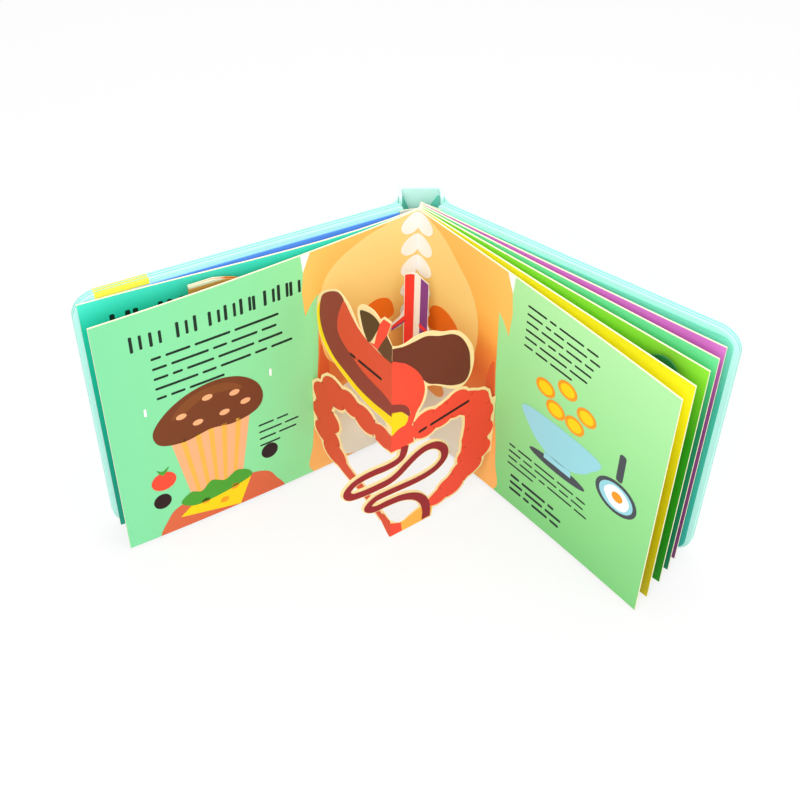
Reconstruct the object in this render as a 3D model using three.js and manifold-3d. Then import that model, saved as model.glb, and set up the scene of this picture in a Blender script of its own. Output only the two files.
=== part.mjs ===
// A children's pop-up book standing open on its bottom edges.
// Millimetres, +Z up. X runs along the flat back of the spine and +Y points out of it, so the
// open pages face -Y. While the pieces are laid out, the gutter of the open spread is the origin
// in plan and z = 0 is the surface that the book stands on. The whole book is shifted at the end
// so that the origin is the bottom centre of its bounding box.
// "Left" and "right" are the reader's. Angles are measured down from the spine's back panel.

import * as THREE from 'three';
import { mergeVertices } from 'three/addons/utils/BufferGeometryUtils.js';
import Module from 'manifold-3d';

const wasm = await Module();
wasm.setup();

// Padded covers and the hollow spine between them.
const COVER_WIDTH = 228;
const COVER_HEIGHT = 220;
const COVER_THICKNESS = 8.1;
const COVER_CORNER_RADIUS = 17;
const COVER_HINGE_RADIUS = 3;
const PADDING_DEPTH = 5.2;
const PADDING_ROUNDING = 14;
const SPINE_WIDTH = 30.4;
const SPINE_DEPTH = 13.2;
const SPINE_WALL = 2;
const SPINE_CORNER_RADIUS = 4;
const SPINE_CENTRE_X = 2.3;
const SPINE_FRONT_Y = 8.5;
const COVER_SWING_CLEARANCE = 0.6;

// Pages: seven stiff leaves of laminated card. The covers stand proud of them by the square.
const COVER_SQUARE = 3;
const PAGE_WIDTH = 235;
const PAGE_HEIGHT = COVER_HEIGHT - 2 * COVER_SQUARE;
const LEAF_THICKNESS = 1.2;

// Pasted-down end sheets.
const PASTEDOWN_THICKNESS = 0.6;
const PASTEDOWN_MARGIN = COVER_SQUARE + 1;
const PASTEDOWN_HINGE_MARGIN = 4;
const PASTEDOWN_CORNER_RADIUS = 9;

// How far each cover and leaf has swung forward from the line of the spine's back.
const LEFT_COVER_ANGLE = 22.8;
const RIGHT_COVER_ANGLE = 37.6;
const OPEN_LEFT_ANGLE = 27.9;
const OUTER_LEFT_ANGLE = 22.5;
const OPEN_RIGHT_ANGLE = 52;
const RIGHT_LEAF_ANGLES = [48.7, 45, 42.2, 39.7];

// How far a leaf bows towards the reader of the open spread. The outer left leaf bows most near
// the gutter, the others in the middle.
const OPEN_LEFT_BOW = 3;
const OUTER_LEFT_BOW = 5;
const OPEN_RIGHT_BOW = -2;
const RIGHT_LEAF_BOWS = [-1.6, -1.2, -0.8, 0];
const BOW_STEPS = 10;

// Where the leaves are rooted, behind the gutter of the open spread.
const OUTER_LEFT_ROOT = new THREE.Vector2(0.7, 1.7);
const LAST_RIGHT_ROOT = new THREE.Vector2(1.3, 8);
const HUB_REACH = 2.4;
const ENDPAPER_STRIP_THICKNESS = 0.6;

// Card of the pop-ups, and the gap that glued faces keep.
const CARD = 0.6;
const CLEARANCE = 0.3;
const TAB_WIDTH = 9;

// The standing V of organs in the open spread: where its wings are glued, and how long they are.
const ORGANS_LEFT_GLUE = 87.5;
const ORGANS_RIGHT_GLUE = 84.1;
const ORGANS_LEFT_WING = 84.7;
const ORGANS_RIGHT_WING = 88.5;

// The small V of blood vessels behind it.
const VESSELS_LEFT_GLUE = 22;
const VESSELS_RIGHT_GLUE = 24;
const VESSELS_LEFT_WING = 21;
const VESSELS_RIGHT_WING = 18.2;

// Pop-ups that lie folded in the closed spreads.
const FOLDED_GLUE = 78;
const FOLDED_REACH = 166;
const LONG_FOLDED_REACH = 222;

const COLOURS = {
  cover: 0xbdf7ea,
  pages: 0x8fe6a2,
  blue: 0x4f9be8,
  teal: 0x76f5c5,
  organs: 0xfb4a34,
  vessels: 0xf3ead8,
  orange: 0xf0a04a,
  green: 0x2f8a4a,
};

const sideSign = { left: -1, right: 1 };
const pageBottom = COVER_SQUARE;
const radians = (degrees) => THREE.MathUtils.degToRad(degrees);

function material(colour, roughness = 0.6) {
  return new THREE.MeshStandardMaterial({ color: colour, roughness, metalness: 0 });
}

// Solids and booleans. Points closer together than this become one.
const WELD = 0.01;

function plain(geometry) {
  const bare = geometry.index ? geometry.toNonIndexed() : geometry.clone();
  for (const name of Object.keys(bare.attributes)) {
    if (name !== 'position') bare.deleteAttribute(name);
  }
  return mergeVertices(bare, 1e-4);
}

function toSolid(geometry) {
  const merged = plain(geometry);
  const vertProperties = new Float32Array(merged.attributes.position.array);
  const triVerts = new Uint32Array(merged.index.array);
  return new wasm.Manifold(new wasm.Mesh({ numProp: 3, vertProperties, triVerts, tolerance: WELD }));
}

function toGeometry(solid) {
  const mesh = solid.getMesh();
  const geometry = new THREE.BufferGeometry();
  geometry.setAttribute('position', new THREE.BufferAttribute(new Float32Array(mesh.vertProperties), 3));
  geometry.setIndex(new THREE.BufferAttribute(new Uint32Array(mesh.triVerts), 1));
  geometry.computeVertexNormals();
  return geometry;
}

function union(geometries) {
  return toGeometry(geometries.map(toSolid).reduce((sum, solid) => sum.add(solid)));
}

// A flat outline in plan, raised from z = bottom to z = top.
function raised(points, bottom, top) {
  const geometry = new THREE.ExtrudeGeometry(new THREE.Shape(points), {
    depth: top - bottom,
    bevelEnabled: false,
  });
  return geometry.translate(0, 0, bottom);
}

// Leaves: each is a bowed strip in plan. A leaf's front face is the one that faces the reader.

const evenBow = (share) => 4 * share * (1 - share);
const gutterBow = (share) => 6.75 * share * (1 - share) ** 2;

function leaf(side, angle, bow, root, profile = evenBow) {
  const out = new THREE.Vector2(sideSign[side] * Math.cos(radians(angle)), -Math.sin(radians(angle)));
  const front = new THREE.Vector2(-sideSign[side] * Math.sin(radians(angle)), -Math.cos(radians(angle)));
  return { side, bow, root, out, front, profile };
}

// The point at distance s from the leaf's root, raised off its front face.
function onLeaf(page, s, raise = 0) {
  const share = s / PAGE_WIDTH;
  const lift = page.bow * page.profile(share) + raise;
  return page.root.clone().addScaledVector(page.out, s).addScaledVector(page.front, lift);
}

function leafOutline(page) {
  const frontEdge = [];
  const backEdge = [];
  for (let step = 0; step <= BOW_STEPS; step += 1) {
    const s = (PAGE_WIDTH * step) / BOW_STEPS;
    frontEdge.push(onLeaf(page, s));
    backEdge.unshift(onLeaf(page, s, -LEAF_THICKNESS));
  }
  return frontEdge.concat(backEdge);
}

const gutter = new THREE.Vector2(0, 0);
const openLeft = leaf('left', OPEN_LEFT_ANGLE, OPEN_LEFT_BOW, gutter);
const outerLeft = leaf('left', OUTER_LEFT_ANGLE, OUTER_LEFT_BOW, OUTER_LEFT_ROOT, gutterBow);
const openRight = leaf('right', OPEN_RIGHT_ANGLE, OPEN_RIGHT_BOW, gutter);
const closedRight = RIGHT_LEAF_ANGLES.map((angle, index) => {
  const root = LAST_RIGHT_ROOT.clone().multiplyScalar((index + 1) / RIGHT_LEAF_ANGLES.length);
  return leaf('right', angle, RIGHT_LEAF_BOWS[index], root);
});
const lastRight = closedRight.at(-1);

// Hinge lines of the covers: the front corners of the spine.
function hingePoint(side) {
  return new THREE.Vector2(SPINE_CENTRE_X + (sideSign[side] * SPINE_WIDTH) / 2, SPINE_FRONT_Y);
}

// A point given along the cover from its hinge line and inwards from its outer face.
function onCover(side, along, inwards) {
  const angle = radians(side === 'left' ? LEFT_COVER_ANGLE : RIGHT_COVER_ANGLE);
  return hingePoint(side).add(new THREE.Vector2(
    sideSign[side] * (along * Math.cos(angle) - inwards * Math.sin(angle)),
    -along * Math.sin(angle) - inwards * Math.cos(angle),
  ));
}

// A strip of constant thickness along a line in plan, centred on it.
function strip(line, thickness, bottom, top) {
  const sideA = [];
  const sideB = [];
  line.forEach((point, index) => {
    const before = line[Math.max(index - 1, 0)];
    const after = line[Math.min(index + 1, line.length - 1)];
    const along = after.clone().sub(before).normalize();
    const across = new THREE.Vector2(-along.y, along.x).multiplyScalar(thickness / 2);
    sideA.push(point.clone().add(across));
    sideB.unshift(point.clone().sub(across));
  });
  return raised(sideA.concat(sideB), bottom, top);
}

// The leaves are one solid: they are joined at the gutter by the folds of the spreads.
function makePages() {
  const bottom = pageBottom;
  const top = pageBottom + PAGE_HEIGHT;
  const leaves = [openLeft, outerLeft, openRight, ...closedRight];
  const parts = leaves.map((page) => raised(leafOutline(page), bottom, top));
  // The hub fills the folds between the leaves' roots.
  const middle = -LEAF_THICKNESS / 2;
  const hub = [
    onLeaf(outerLeft, HUB_REACH, middle),
    onLeaf(openLeft, HUB_REACH / 2, middle),
    onLeaf(openRight, HUB_REACH / 2, middle),
    ...closedRight.map((page) => onLeaf(page, HUB_REACH, middle)),
    onLeaf(lastRight, 0, -LEAF_THICKNESS),
    onLeaf(outerLeft, 0, -LEAF_THICKNESS),
  ];
  parts.push(raised(hub, bottom, top));
  // The end sheets cross from the block to the covers as a thin strip on each side.
  const level = COVER_THICKNESS + CLEARANCE + PASTEDOWN_THICKNESS / 2;
  const reach = PASTEDOWN_HINGE_MARGIN - CLEARANCE;
  for (const [side, page] of [['left', outerLeft], ['right', lastRight]]) {
    const start = onLeaf(page, 1, -LEAF_THICKNESS / 2);
    const line = [start, onCover(side, 0, level), onCover(side, reach, level)];
    parts.push(strip(line, ENDPAPER_STRIP_THICKNESS, bottom, top));
  }
  return union(parts);
}

// Covers: a stack of rounded rectangles, wide at the board and drawn in over the padding.

function roundedRectangle(width, height, inset, cornerRadius, hingeRadius) {
  const points = [];
  const steps = 8;
  const far = Math.max(cornerRadius - inset, 1);
  const near = Math.max(hingeRadius - inset, 0.8);
  const corners = [
    { x: inset + near, z: inset + near, radius: near, start: 180 },
    { x: width - inset - far, z: inset + far, radius: far, start: 270 },
    { x: width - inset - far, z: height - inset - far, radius: far, start: 0 },
    { x: inset + near, z: height - inset - near, radius: near, start: 90 },
  ];
  for (const corner of corners) {
    for (let step = 0; step <= steps; step += 1) {
      const angle = radians(corner.start + (90 * step) / steps);
      points.push([corner.x + corner.radius * Math.cos(angle), corner.z + corner.radius * Math.sin(angle)]);
    }
  }
  return points;
}

// Joins rings of equal length into one closed body, with its faces pointing out.
function loftRings(rings) {
  const count = rings[0].length;
  const positions = rings.flat(2);
  const triangles = [];
  for (let ring = 0; ring < rings.length - 1; ring += 1) {
    for (let i = 0; i < count; i += 1) {
      const next = (i + 1) % count;
      const a = ring * count + i;
      const b = ring * count + next;
      triangles.push(a, b, a + count, b, b + count, a + count);
    }
  }
  const last = (rings.length - 1) * count;
  for (let i = 1; i < count - 1; i += 1) {
    triangles.push(0, i + 1, i);
    triangles.push(last, last + i, last + i + 1);
  }
  const geometry = new THREE.BufferGeometry();
  geometry.setAttribute('position', new THREE.Float32BufferAttribute(positions, 3));
  geometry.setIndex(signedVolume(positions, triangles) > 0 ? triangles : triangles.reverse());
  geometry.computeVertexNormals();
  return geometry;
}

function signedVolume(positions, triangles) {
  const corner = (index) => new THREE.Vector3().fromArray(positions, 3 * index);
  let volume = 0;
  for (let i = 0; i < triangles.length; i += 3) {
    const [a, b, c] = [corner(triangles[i]), corner(triangles[i + 1]), corner(triangles[i + 2])];
    volume += a.dot(b.cross(c)) / 6;
  }
  return volume;
}

// In a cover's own frame x runs from the hinge line, y = 0 is the outer face and -y is inwards.
function makeCover(side) {
  const levels = [
    { depth: 0, inset: PADDING_ROUNDING },
    { depth: 0.06 * PADDING_DEPTH, inset: 0.62 * PADDING_ROUNDING },
    { depth: 0.2 * PADDING_DEPTH, inset: 0.32 * PADDING_ROUNDING },
    { depth: 0.45 * PADDING_DEPTH, inset: 0.1 * PADDING_ROUNDING },
    { depth: 0.75 * PADDING_DEPTH, inset: 0.02 * PADDING_ROUNDING },
    { depth: PADDING_DEPTH, inset: 0 },
    { depth: COVER_THICKNESS, inset: 0 },
  ];
  const width = COVER_WIDTH - COVER_SWING_CLEARANCE;
  const rings = levels.map(({ depth, inset }) => (
    roundedRectangle(width, COVER_HEIGHT, inset, COVER_CORNER_RADIUS, COVER_HINGE_RADIUS)
      .map(([x, z]) => [sideSign[side] * (x + COVER_SWING_CLEARANCE), -depth, z])
  ));
  return loftRings(rings);
}

function makePastedown(side) {
  const width = COVER_WIDTH - PASTEDOWN_HINGE_MARGIN - PASTEDOWN_MARGIN;
  const height = COVER_HEIGHT - 2 * PASTEDOWN_MARGIN;
  const outer = COVER_THICKNESS + CLEARANCE;
  const rings = [outer, outer + PASTEDOWN_THICKNESS].map((depth) => (
    roundedRectangle(width, height, 0, PASTEDOWN_CORNER_RADIUS, 1)
      .map(([x, z]) => [sideSign[side] * (x + PASTEDOWN_HINGE_MARGIN), -depth, z + PASTEDOWN_MARGIN])
  ));
  return loftRings(rings);
}

// The spine is a thin U in plan, open towards the pages.
function makeSpine() {
  const half = SPINE_WIDTH / 2;
  const inner = half - SPINE_WALL;
  const innerRadius = SPINE_CORNER_RADIUS - SPINE_WALL;
  const back = SPINE_FRONT_Y + SPINE_DEPTH;
  const x = (value) => SPINE_CENTRE_X + value;
  const shape = new THREE.Shape();
  shape.moveTo(x(-half), SPINE_FRONT_Y);
  shape.lineTo(x(-inner), SPINE_FRONT_Y);
  shape.lineTo(x(-inner), back - SPINE_CORNER_RADIUS);
  shape.absarc(x(-inner + innerRadius), back - SPINE_CORNER_RADIUS, innerRadius, Math.PI, Math.PI / 2, true);
  shape.lineTo(x(inner - innerRadius), back - SPINE_WALL);
  shape.absarc(x(inner - innerRadius), back - SPINE_CORNER_RADIUS, innerRadius, Math.PI / 2, 0, true);
  shape.lineTo(x(inner), SPINE_FRONT_Y);
  shape.lineTo(x(half), SPINE_FRONT_Y);
  shape.absarc(x(half - SPINE_CORNER_RADIUS), back - SPINE_CORNER_RADIUS, SPINE_CORNER_RADIUS, 0, Math.PI / 2);
  shape.absarc(x(SPINE_CORNER_RADIUS - half), back - SPINE_CORNER_RADIUS, SPINE_CORNER_RADIUS, Math.PI / 2, Math.PI);
  shape.closePath();
  return new THREE.ExtrudeGeometry(shape, { depth: COVER_HEIGHT, bevelEnabled: false, curveSegments: 8 });
}

// Standing Vs of card. A wing is drawn flat: x runs from the crease to the glued edge and y is
// the height above the pages' bottom edge. The drawings are for pages 214 high and are stretched
// to the real height and to the real length of the wing.

const drawnToReal = PAGE_HEIGHT / 214;

const CREASE_OVERLAP = CARD / 2;

// An outline whose runs are smooth curves, with a corner where one run ends and the next starts.
function outline(...runs) {
  const shape = new THREE.Shape();
  shape.moveTo(...runs[0][0]);
  for (const run of runs) {
    const points = run.slice(1).map((point) => new THREE.Vector2(...point));
    if (points.length === 1) shape.lineTo(points[0].x, points[0].y);
    else shape.splineThru(points);
  }
  return shape;
}

function lobe([x, y, radiusX, radiusY], grow = 0) {
  const shape = new THREE.Shape();
  shape.absellipse(x, y, radiusX + grow, radiusY + grow, 0, 2 * Math.PI);
  return shape;
}

// A band of print with a width that follows its centre line.
function band(centre, halfWidths, shift = [0, 0]) {
  const curve = new THREE.SplineCurve(centre.map(([x, y]) => new THREE.Vector2(x, y)));
  const count = (centre.length - 1) * 4;
  const sideA = [];
  const sideB = [];
  for (let i = 0; i <= count; i += 1) {
    const share = i / count;
    const point = curve.getPoint(share).add(new THREE.Vector2(...shift));
    const along = curve.getTangent(share);
    const place = share * (halfWidths.length - 1);
    const index = Math.min(Math.floor(place), halfWidths.length - 2);
    const half = THREE.MathUtils.lerp(halfWidths[index], halfWidths[index + 1], place - index);
    const across = new THREE.Vector2(-along.y, along.x).multiplyScalar(half);
    sideA.push(point.clone().add(across));
    sideB.unshift(point.clone().sub(across));
  }
  return new THREE.Shape(sideA.concat(sideB));
}

function rectangle(x0, y0, x1, y1) {
  return outline([[x0, y0], [x1, y0]], [[x1, y0], [x1, y1]], [[x1, y1], [x0, y1]], [[x0, y1], [x0, y0]]);
}

// The crease of a V: the point at the given distances from its two glued edges.
function crease(left, right, leftWing, rightWing) {
  const across = right.clone().sub(left);
  const distance = across.length();
  const along = (leftWing ** 2 - rightWing ** 2 + distance ** 2) / (2 * distance);
  const out = Math.sqrt(leftWing ** 2 - along ** 2);
  const unit = across.divideScalar(distance);
  return left.clone().addScaledVector(unit, along).add(new THREE.Vector2(unit.y, -unit.x).multiplyScalar(out));
}

function sheetOf(shape, stretchX = 1, stretchY = 1) {
  const sheet = new THREE.ExtrudeGeometry(shape, { depth: CARD, bevelEnabled: false, curveSegments: 6 });
  return toSolid(sheet.translate(0, 0, -CARD / 2).scale(stretchX, stretchY, 1));
}

// Flat outlines as one sheet of card, trimmed at the glued edge and at the pages' edges.
function flatWing(shapes, length, drawnLength) {
  const trim = sheetOf(rectangle(-length, 0, length, PAGE_HEIGHT));
  const sheets = shapes.map((shape) => sheetOf(shape, length / drawnLength, drawnToReal));
  return toGeometry(sheets.reduce((sum, solid) => sum.add(solid)).intersect(trim));
}

// Stands a sheet up on the line from the crease to the glued edge.
function standing(from, to) {
  const along = new THREE.Vector3(to.x - from.x, to.y - from.y, 0).normalize();
  const up = new THREE.Vector3(0, 0, 1);
  const facing = new THREE.Vector3().crossVectors(along, up);
  return new THREE.Matrix4().makeBasis(along, up, facing).setPosition(from.x, from.y, pageBottom);
}

function wing(shape, from, to) {
  const length = from.distanceTo(to);
  return flatWing([shape(length)], length, length).applyMatrix4(standing(from, to));
}

const onCrease = (point) => Math.abs(point.x) < WELD / 10;

// The triangles of a flat wing as triples of points.
function trianglesOf(geometry) {
  const { position } = geometry.attributes;
  const corner = (i) => new THREE.Vector3().fromBufferAttribute(position, geometry.index.getX(i));
  const triangles = [];
  for (let i = 0; i < geometry.index.count; i += 3) {
    triangles.push([corner(i), corner(i + 1), corner(i + 2)]);
  }
  return triangles;
}

// Splits a triangle's edge that lies on the crease at the given heights.
function splitOnCrease(triangle, heights) {
  const first = [0, 1, 2].find((i) => onCrease(triangle[i]) && onCrease(triangle[(i + 1) % 3]));
  if (first === undefined) return [triangle];
  const [start, end, apex] = [0, 1, 2].map((step) => triangle[(first + step) % 3]);
  const rising = Math.sign(end.y - start.y);
  const between = heights
    .filter((height) => (height - start.y) * rising > WELD && (end.y - height) * rising > WELD)
    .sort((one, other) => (one - other) * rising)
    .map((height) => new THREE.Vector3(0, height, start.z));
  const chain = [start, ...between, end];
  return chain.slice(1).map((point, i) => [chain[i], point, apex]);
}

// One half of a V. Its crease edge, drawn at x = 0, is carried to the mitre line of the fold and
// left open there, so that the two halves close on each other.
function foldedHalf(triangles, heights, fold, glued, outer, inner) {
  const place = standing(fold, glued);
  const facing = new THREE.Vector3().setFromMatrixColumn(place, 2);
  const outward = new THREE.Vector3(outer.x - fold.x, outer.y - fold.y, 0);
  const facesOut = Math.sign(facing.dot(outward));
  const stand = (point) => {
    if (!onCrease(point)) return point.clone().applyMatrix4(place);
    const edge = point.z * facesOut > 0 ? outer : inner;
    return new THREE.Vector3(edge.x, edge.y, pageBottom + point.y);
  };
  return triangles
    .filter((triangle) => !triangle.every(onCrease))
    .flatMap((triangle) => splitOnCrease(triangle, heights))
    .flat()
    .map(stand);
}

// The two halves meet on the bisector of the fold.
function foldedV(leftWing, rightWing, fold, left, right) {
  const towardsLeft = left.clone().sub(fold).normalize();
  const towardsRight = right.clone().sub(fold).normalize();
  const inwards = towardsLeft.clone().add(towardsRight).normalize();
  const mitre = CARD / 2 / Math.abs(inwards.cross(towardsLeft));
  const outer = fold.clone().addScaledVector(inwards, -mitre);
  const inner = fold.clone().addScaledVector(inwards, mitre);
  const [leftHalf, rightHalf] = [leftWing, rightWing].map(({ shapes, length, drawnLength }) => (
    trianglesOf(plain(flatWing(shapes, length, drawnLength)))
  ));
  const heights = [...leftHalf, ...rightHalf].flat().filter(onCrease).map((point) => point.y);
  const distinct = [...new Set(heights.map((height) => Number(height.toFixed(3))))];
  return new THREE.BufferGeometry().setFromPoints([
    ...foldedHalf(leftHalf, distinct, fold, left, outer, inner),
    ...foldedHalf(rightHalf, distinct, fold, right, outer, inner),
  ]);
}

// A glued tab lies on the leaf, from the wing's edge back towards the gutter.
function tab(page, glue, bottom, top) {
  const line = [];
  for (let step = 0; step <= 3; step += 1) {
    line.push(onLeaf(page, glue - (TAB_WIDTH * step) / 3, CLEARANCE + CARD / 2));
  }
  return strip(line, CARD, pageBottom + bottom * drawnToReal, pageBottom + top * drawnToReal);
}

// Each wing has its real length, the length it is drawn for, its outlines, the distance from the
// gutter at which it is glued, and the bottom and top of its tab.
function standingV(leftWing, rightWing) {
  const left = onLeaf(openLeft, leftWing.glue, CLEARANCE + CARD / 2);
  const right = onLeaf(openRight, rightWing.glue, CLEARANCE + CARD / 2);
  const fold = crease(left, right, leftWing.length, rightWing.length);
  return union([
    foldedV(leftWing, rightWing, fold, left, right),
    tab(openLeft, leftWing.glue, ...leftWing.tab),
    tab(openRight, rightWing.glue, ...rightWing.tab),
  ]);
}

// The organs: stomach and liver above, colon and small intestine below, cut from one card.
const BORDER = 2.4;

const STOMACH_OUTLINE = outline(
  [[0, 193], [5, 199]],
  [[5, 199], [1, 213]],
  [[1, 213], [8, 213]],
  [[8, 213], [12, 208]],
  [[12, 208], [17, 211], [23, 211], [29, 209], [33, 204], [34, 198], [32, 190], [28, 182]],
  [[28, 182], [34, 188], [41, 198], [48, 203], [54, 204], [61, 200], [69, 193], [74, 185], [76, 175],
    [76, 163], [74, 151], [69, 143], [61, 136], [50, 130], [38, 125], [25, 121], [12, 120], [6, 118], [3, 114]],
  [[3, 114], [14, 111]],
  [[14, 111], [14, 91]],
  [[14, 91], [0, 91]],
  [[0, 91], [0, 193]],
);

const LIVER_OUTLINE = outline(
  [[0, 193], [5, 191], [10, 191], [17, 193], [24, 193], [31, 191], [39, 186], [47, 183], [53, 179],
    [59, 171], [64, 161], [66, 151], [66, 142], [64, 133], [60, 127], [55, 125], [47, 129], [40, 135], [33, 140],
    [28, 142]],
  [[28, 142], [28, 135], [26, 128], [22, 121], [18, 112]],
  [[18, 112], [20, 91]],
  [[20, 91], [0, 91]],
  [[0, 91], [0, 193]],
);

// Pouches of the colon: centre x and y, half width and half height. A band joins them.
const LEFT_COLON = [
  [27, 104, 12, 12], [43, 107, 11, 11], [60, 104, 13, 14], [72, 92, 11, 12],
  [70, 72, 15, 12], [69, 54, 14, 11], [61, 41, 13, 11],
];
const LEFT_COLON_WIDTHS = [11, 11, 11, 11, 10];
const RIGHT_COLON = [
  [28, 105, 12, 13], [41, 106, 11, 11], [54, 110, 11, 13], [71, 101, 11, 12],
  [75, 86, 12, 12], [74, 68, 14, 12], [72, 49, 15, 12], [66, 36, 14, 11], [52, 24, 12, 11], [41, 18, 9, 7],
];
const RIGHT_COLON_WIDTHS = [11, 12, 13, 14, 13.5, 12, 9];
const RIGHT_COLON_SHIFT = [-1.5, 0];
const COLON_TAIL = [[61, 40], [50, 34], [40, 30], [30, 27], [20, 21], [8, 14]];
const COLON_TAIL_WIDTHS = [9, 8, 7, 6];

const SMALL_INTESTINE = [
  [11, 93], [9, 84], [4, 80.5], [-5, 80], [-14, 81], [-23, 81], [-31, 79], [-36, 73.5], [-33, 67.5], [-24, 65],
  [-13, 64], [-2, 64], [6, 67], [14, 73], [22, 78], [30, 80], [38, 77.5], [44.5, 69.5], [45, 60], [39, 53.5],
  [30, 50.8], [19, 50.5], [7, 51.5], [-6, 52.5], [-14, 52], [-19.5, 47], [-14, 41.8], [-3, 41], [10, 39], [21, 33],
  [28, 24], [31, 13], [31, 0.5],
];
const SMALL_INTESTINE_WIDTHS = [4, 4, 4, 4.2, 4.2, 4, 3.8, 3.8, 4.2, 4.6];
const BORDER_SHIFT = [-1.1, 1.7];

const LEFT_FOOT = outline(
  [[0, 0.5], [4, 3], [12, 13]],
  [[12, 13], [8, 23]],
  [[8, 23], [0, 19]],
  [[0, 19], [0, 0.5]],
);
const RIGHT_FOOT = outline(
  [[0, 0.5], [36, 0.5]],
  [[36, 0.5], [38, 15]],
  [[38, 15], [26, 18], [19, 16], [12, 12]],
  [[12, 12], [7, 12], [0, 19]],
  [[0, 19], [0, 0.5]],
);

function makeOrgans() {
  const pouches = (list) => list.map((pouch) => lobe(pouch, BORDER));
  const centres = (list) => list.map(([x, y]) => [x, y]);
  const left = {
    length: ORGANS_LEFT_WING,
    drawnLength: 84.7,
    glue: ORGANS_LEFT_GLUE,
    tab: [56, 94],
    shapes: [
      STOMACH_OUTLINE,
      ...pouches(LEFT_COLON),
      band(centres(LEFT_COLON), LEFT_COLON_WIDTHS),
      rectangle(76, 52, 90, 98),
      band(COLON_TAIL, COLON_TAIL_WIDTHS),
      LEFT_FOOT,
    ],
  };
  const right = {
    length: ORGANS_RIGHT_WING,
    drawnLength: 88.5,
    glue: ORGANS_RIGHT_GLUE,
    tab: [44, 94],
    shapes: [
      LIVER_OUTLINE,
      ...pouches(RIGHT_COLON),
      band(centres(RIGHT_COLON), RIGHT_COLON_WIDTHS, RIGHT_COLON_SHIFT),
      rectangle(78, 40, 94, 98),
      band(SMALL_INTESTINE, SMALL_INTESTINE_WIDTHS),
      band(SMALL_INTESTINE, SMALL_INTESTINE_WIDTHS, BORDER_SHIFT),
      RIGHT_FOOT,
    ],
  };
  return standingV(left, right);
}

function makeVessels() {
  const left = {
    length: VESSELS_LEFT_WING,
    drawnLength: 21,
    glue: VESSELS_LEFT_GLUE,
    tab: [113.5, 118.5],
    shapes: [
      outline(
        [[0, 55], [10, 52.5]],
        [[10, 52.5], [10, 128]],
        [[10, 128], [22, 113]],
        [[22, 113], [22, 119]],
        [[22, 119], [14, 131], [10, 140]],
        [[10, 140], [10, 173]],
        [[10, 173], [5, 177], [0, 179]],
        [[0, 179], [0, 55]],
      ),
    ],
  };
  const right = {
    length: VESSELS_RIGHT_WING,
    drawnLength: 18.2,
    glue: VESSELS_RIGHT_GLUE,
    tab: [104.5, 109.5],
    shapes: [
      outline(
        [[0, 55], [9.5, 53]],
        [[9.5, 53], [9.5, 118]],
        [[9.5, 118], [19, 104]],
        [[19, 104], [19, 110]],
        [[19, 110], [12, 120], [9.5, 128]],
        [[9.5, 128], [9.5, 166]],
        [[9.5, 166], [5, 172], [0, 179]],
        [[0, 179], [0, 55]],
      ),
    ],
  };
  return standingV(left, right);
}

// A folded pop-up lies flat between two leaves: behind is the leaf farther from the open spread.
function makeFolded(before, behind, shape, tabRange, reach) {
  const raise = CLEARANCE + CARD / 2;
  const rear = onLeaf(behind, FOLDED_GLUE, raise);
  const near = onLeaf(before, FOLDED_GLUE, -LEAF_THICKNESS - raise);
  const middle = onLeaf(behind, reach).add(onLeaf(before, reach, -LEAF_THICKNESS));
  const fold = middle.multiplyScalar(0.5);
  const tabLine = (page, lift) => [0, 1, 2, 3].map((step) => onLeaf(page, FOLDED_GLUE - (TAB_WIDTH * step) / 3, lift));
  const [bottom, top] = tabRange.map((height) => height * drawnToReal + pageBottom);
  return union([
    wing(shape, fold, rear),
    wing(shape, fold, near),
    strip(tabLine(behind, raise), CARD, bottom, top),
    strip(tabLine(before, -LEAF_THICKNESS - raise), CARD, bottom, top),
  ]);
}

// Outlines of the folded pop-ups: one that reaches the pages' top edge, a rounded one, and one
// whose rounded head lies near the fore-edge.
function tallFold(length) {
  return outline(
    [[-CREASE_OVERLAP, 60], [40, 30], [length, 40]],
    [[length, 40], [length, 140]],
    [[length, 140], [112, 188], [90, 206], [72, 213]],
    [[72, 213], [55, 213]],
    [[55, 213], [55, 192]],
    [[55, 192], [26, 180], [-CREASE_OVERLAP, 150]],
    [[-CREASE_OVERLAP, 150], [-CREASE_OVERLAP, 60]],
  );
}

function roundFold(length) {
  return outline(
    [[-CREASE_OVERLAP, 30], [34, 10], [length, 40]],
    [[length, 40], [length, 140]],
    [[length, 140], [60, 176], [30, 190], [-CREASE_OVERLAP, 172]],
    [[-CREASE_OVERLAP, 172], [-CREASE_OVERLAP, 30]],
  );
}

function headFold(length) {
  return outline(
    [[-CREASE_OVERLAP, 60], [40, 24], [length, 40]],
    [[length, 40], [length, 140]],
    [[length, 140], [90, 156], [50, 176], [34, 200], [24, 209], [15, 212.5], [6, 208], [-CREASE_OVERLAP, 194]],
    [[-CREASE_OVERLAP, 194], [-CREASE_OVERLAP, 60]],
  );
}

const FOLD_TAB = [70, 120];

// The assembled book.

const book = new THREE.Group();

function addPiece(name, geometry, colour, roughness, parent = book) {
  const mesh = new THREE.Mesh(geometry, material(colour, roughness));
  mesh.name = name;
  parent.add(mesh);
}

addPiece('spine', makeSpine(), COLOURS.cover, 0.4);
addPiece('pages', makePages(), COLOURS.pages, 0.4);
addPiece('organs_popup', makeOrgans(), COLOURS.organs, 0.45);
addPiece('vessels_popup', makeVessels(), COLOURS.vessels, 0.45);
const folded2 = makeFolded(openLeft, outerLeft, tallFold, FOLD_TAB, LONG_FOLDED_REACH);
addPiece('folded_popup_2', folded2, COLOURS.orange, 0.45);

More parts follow.
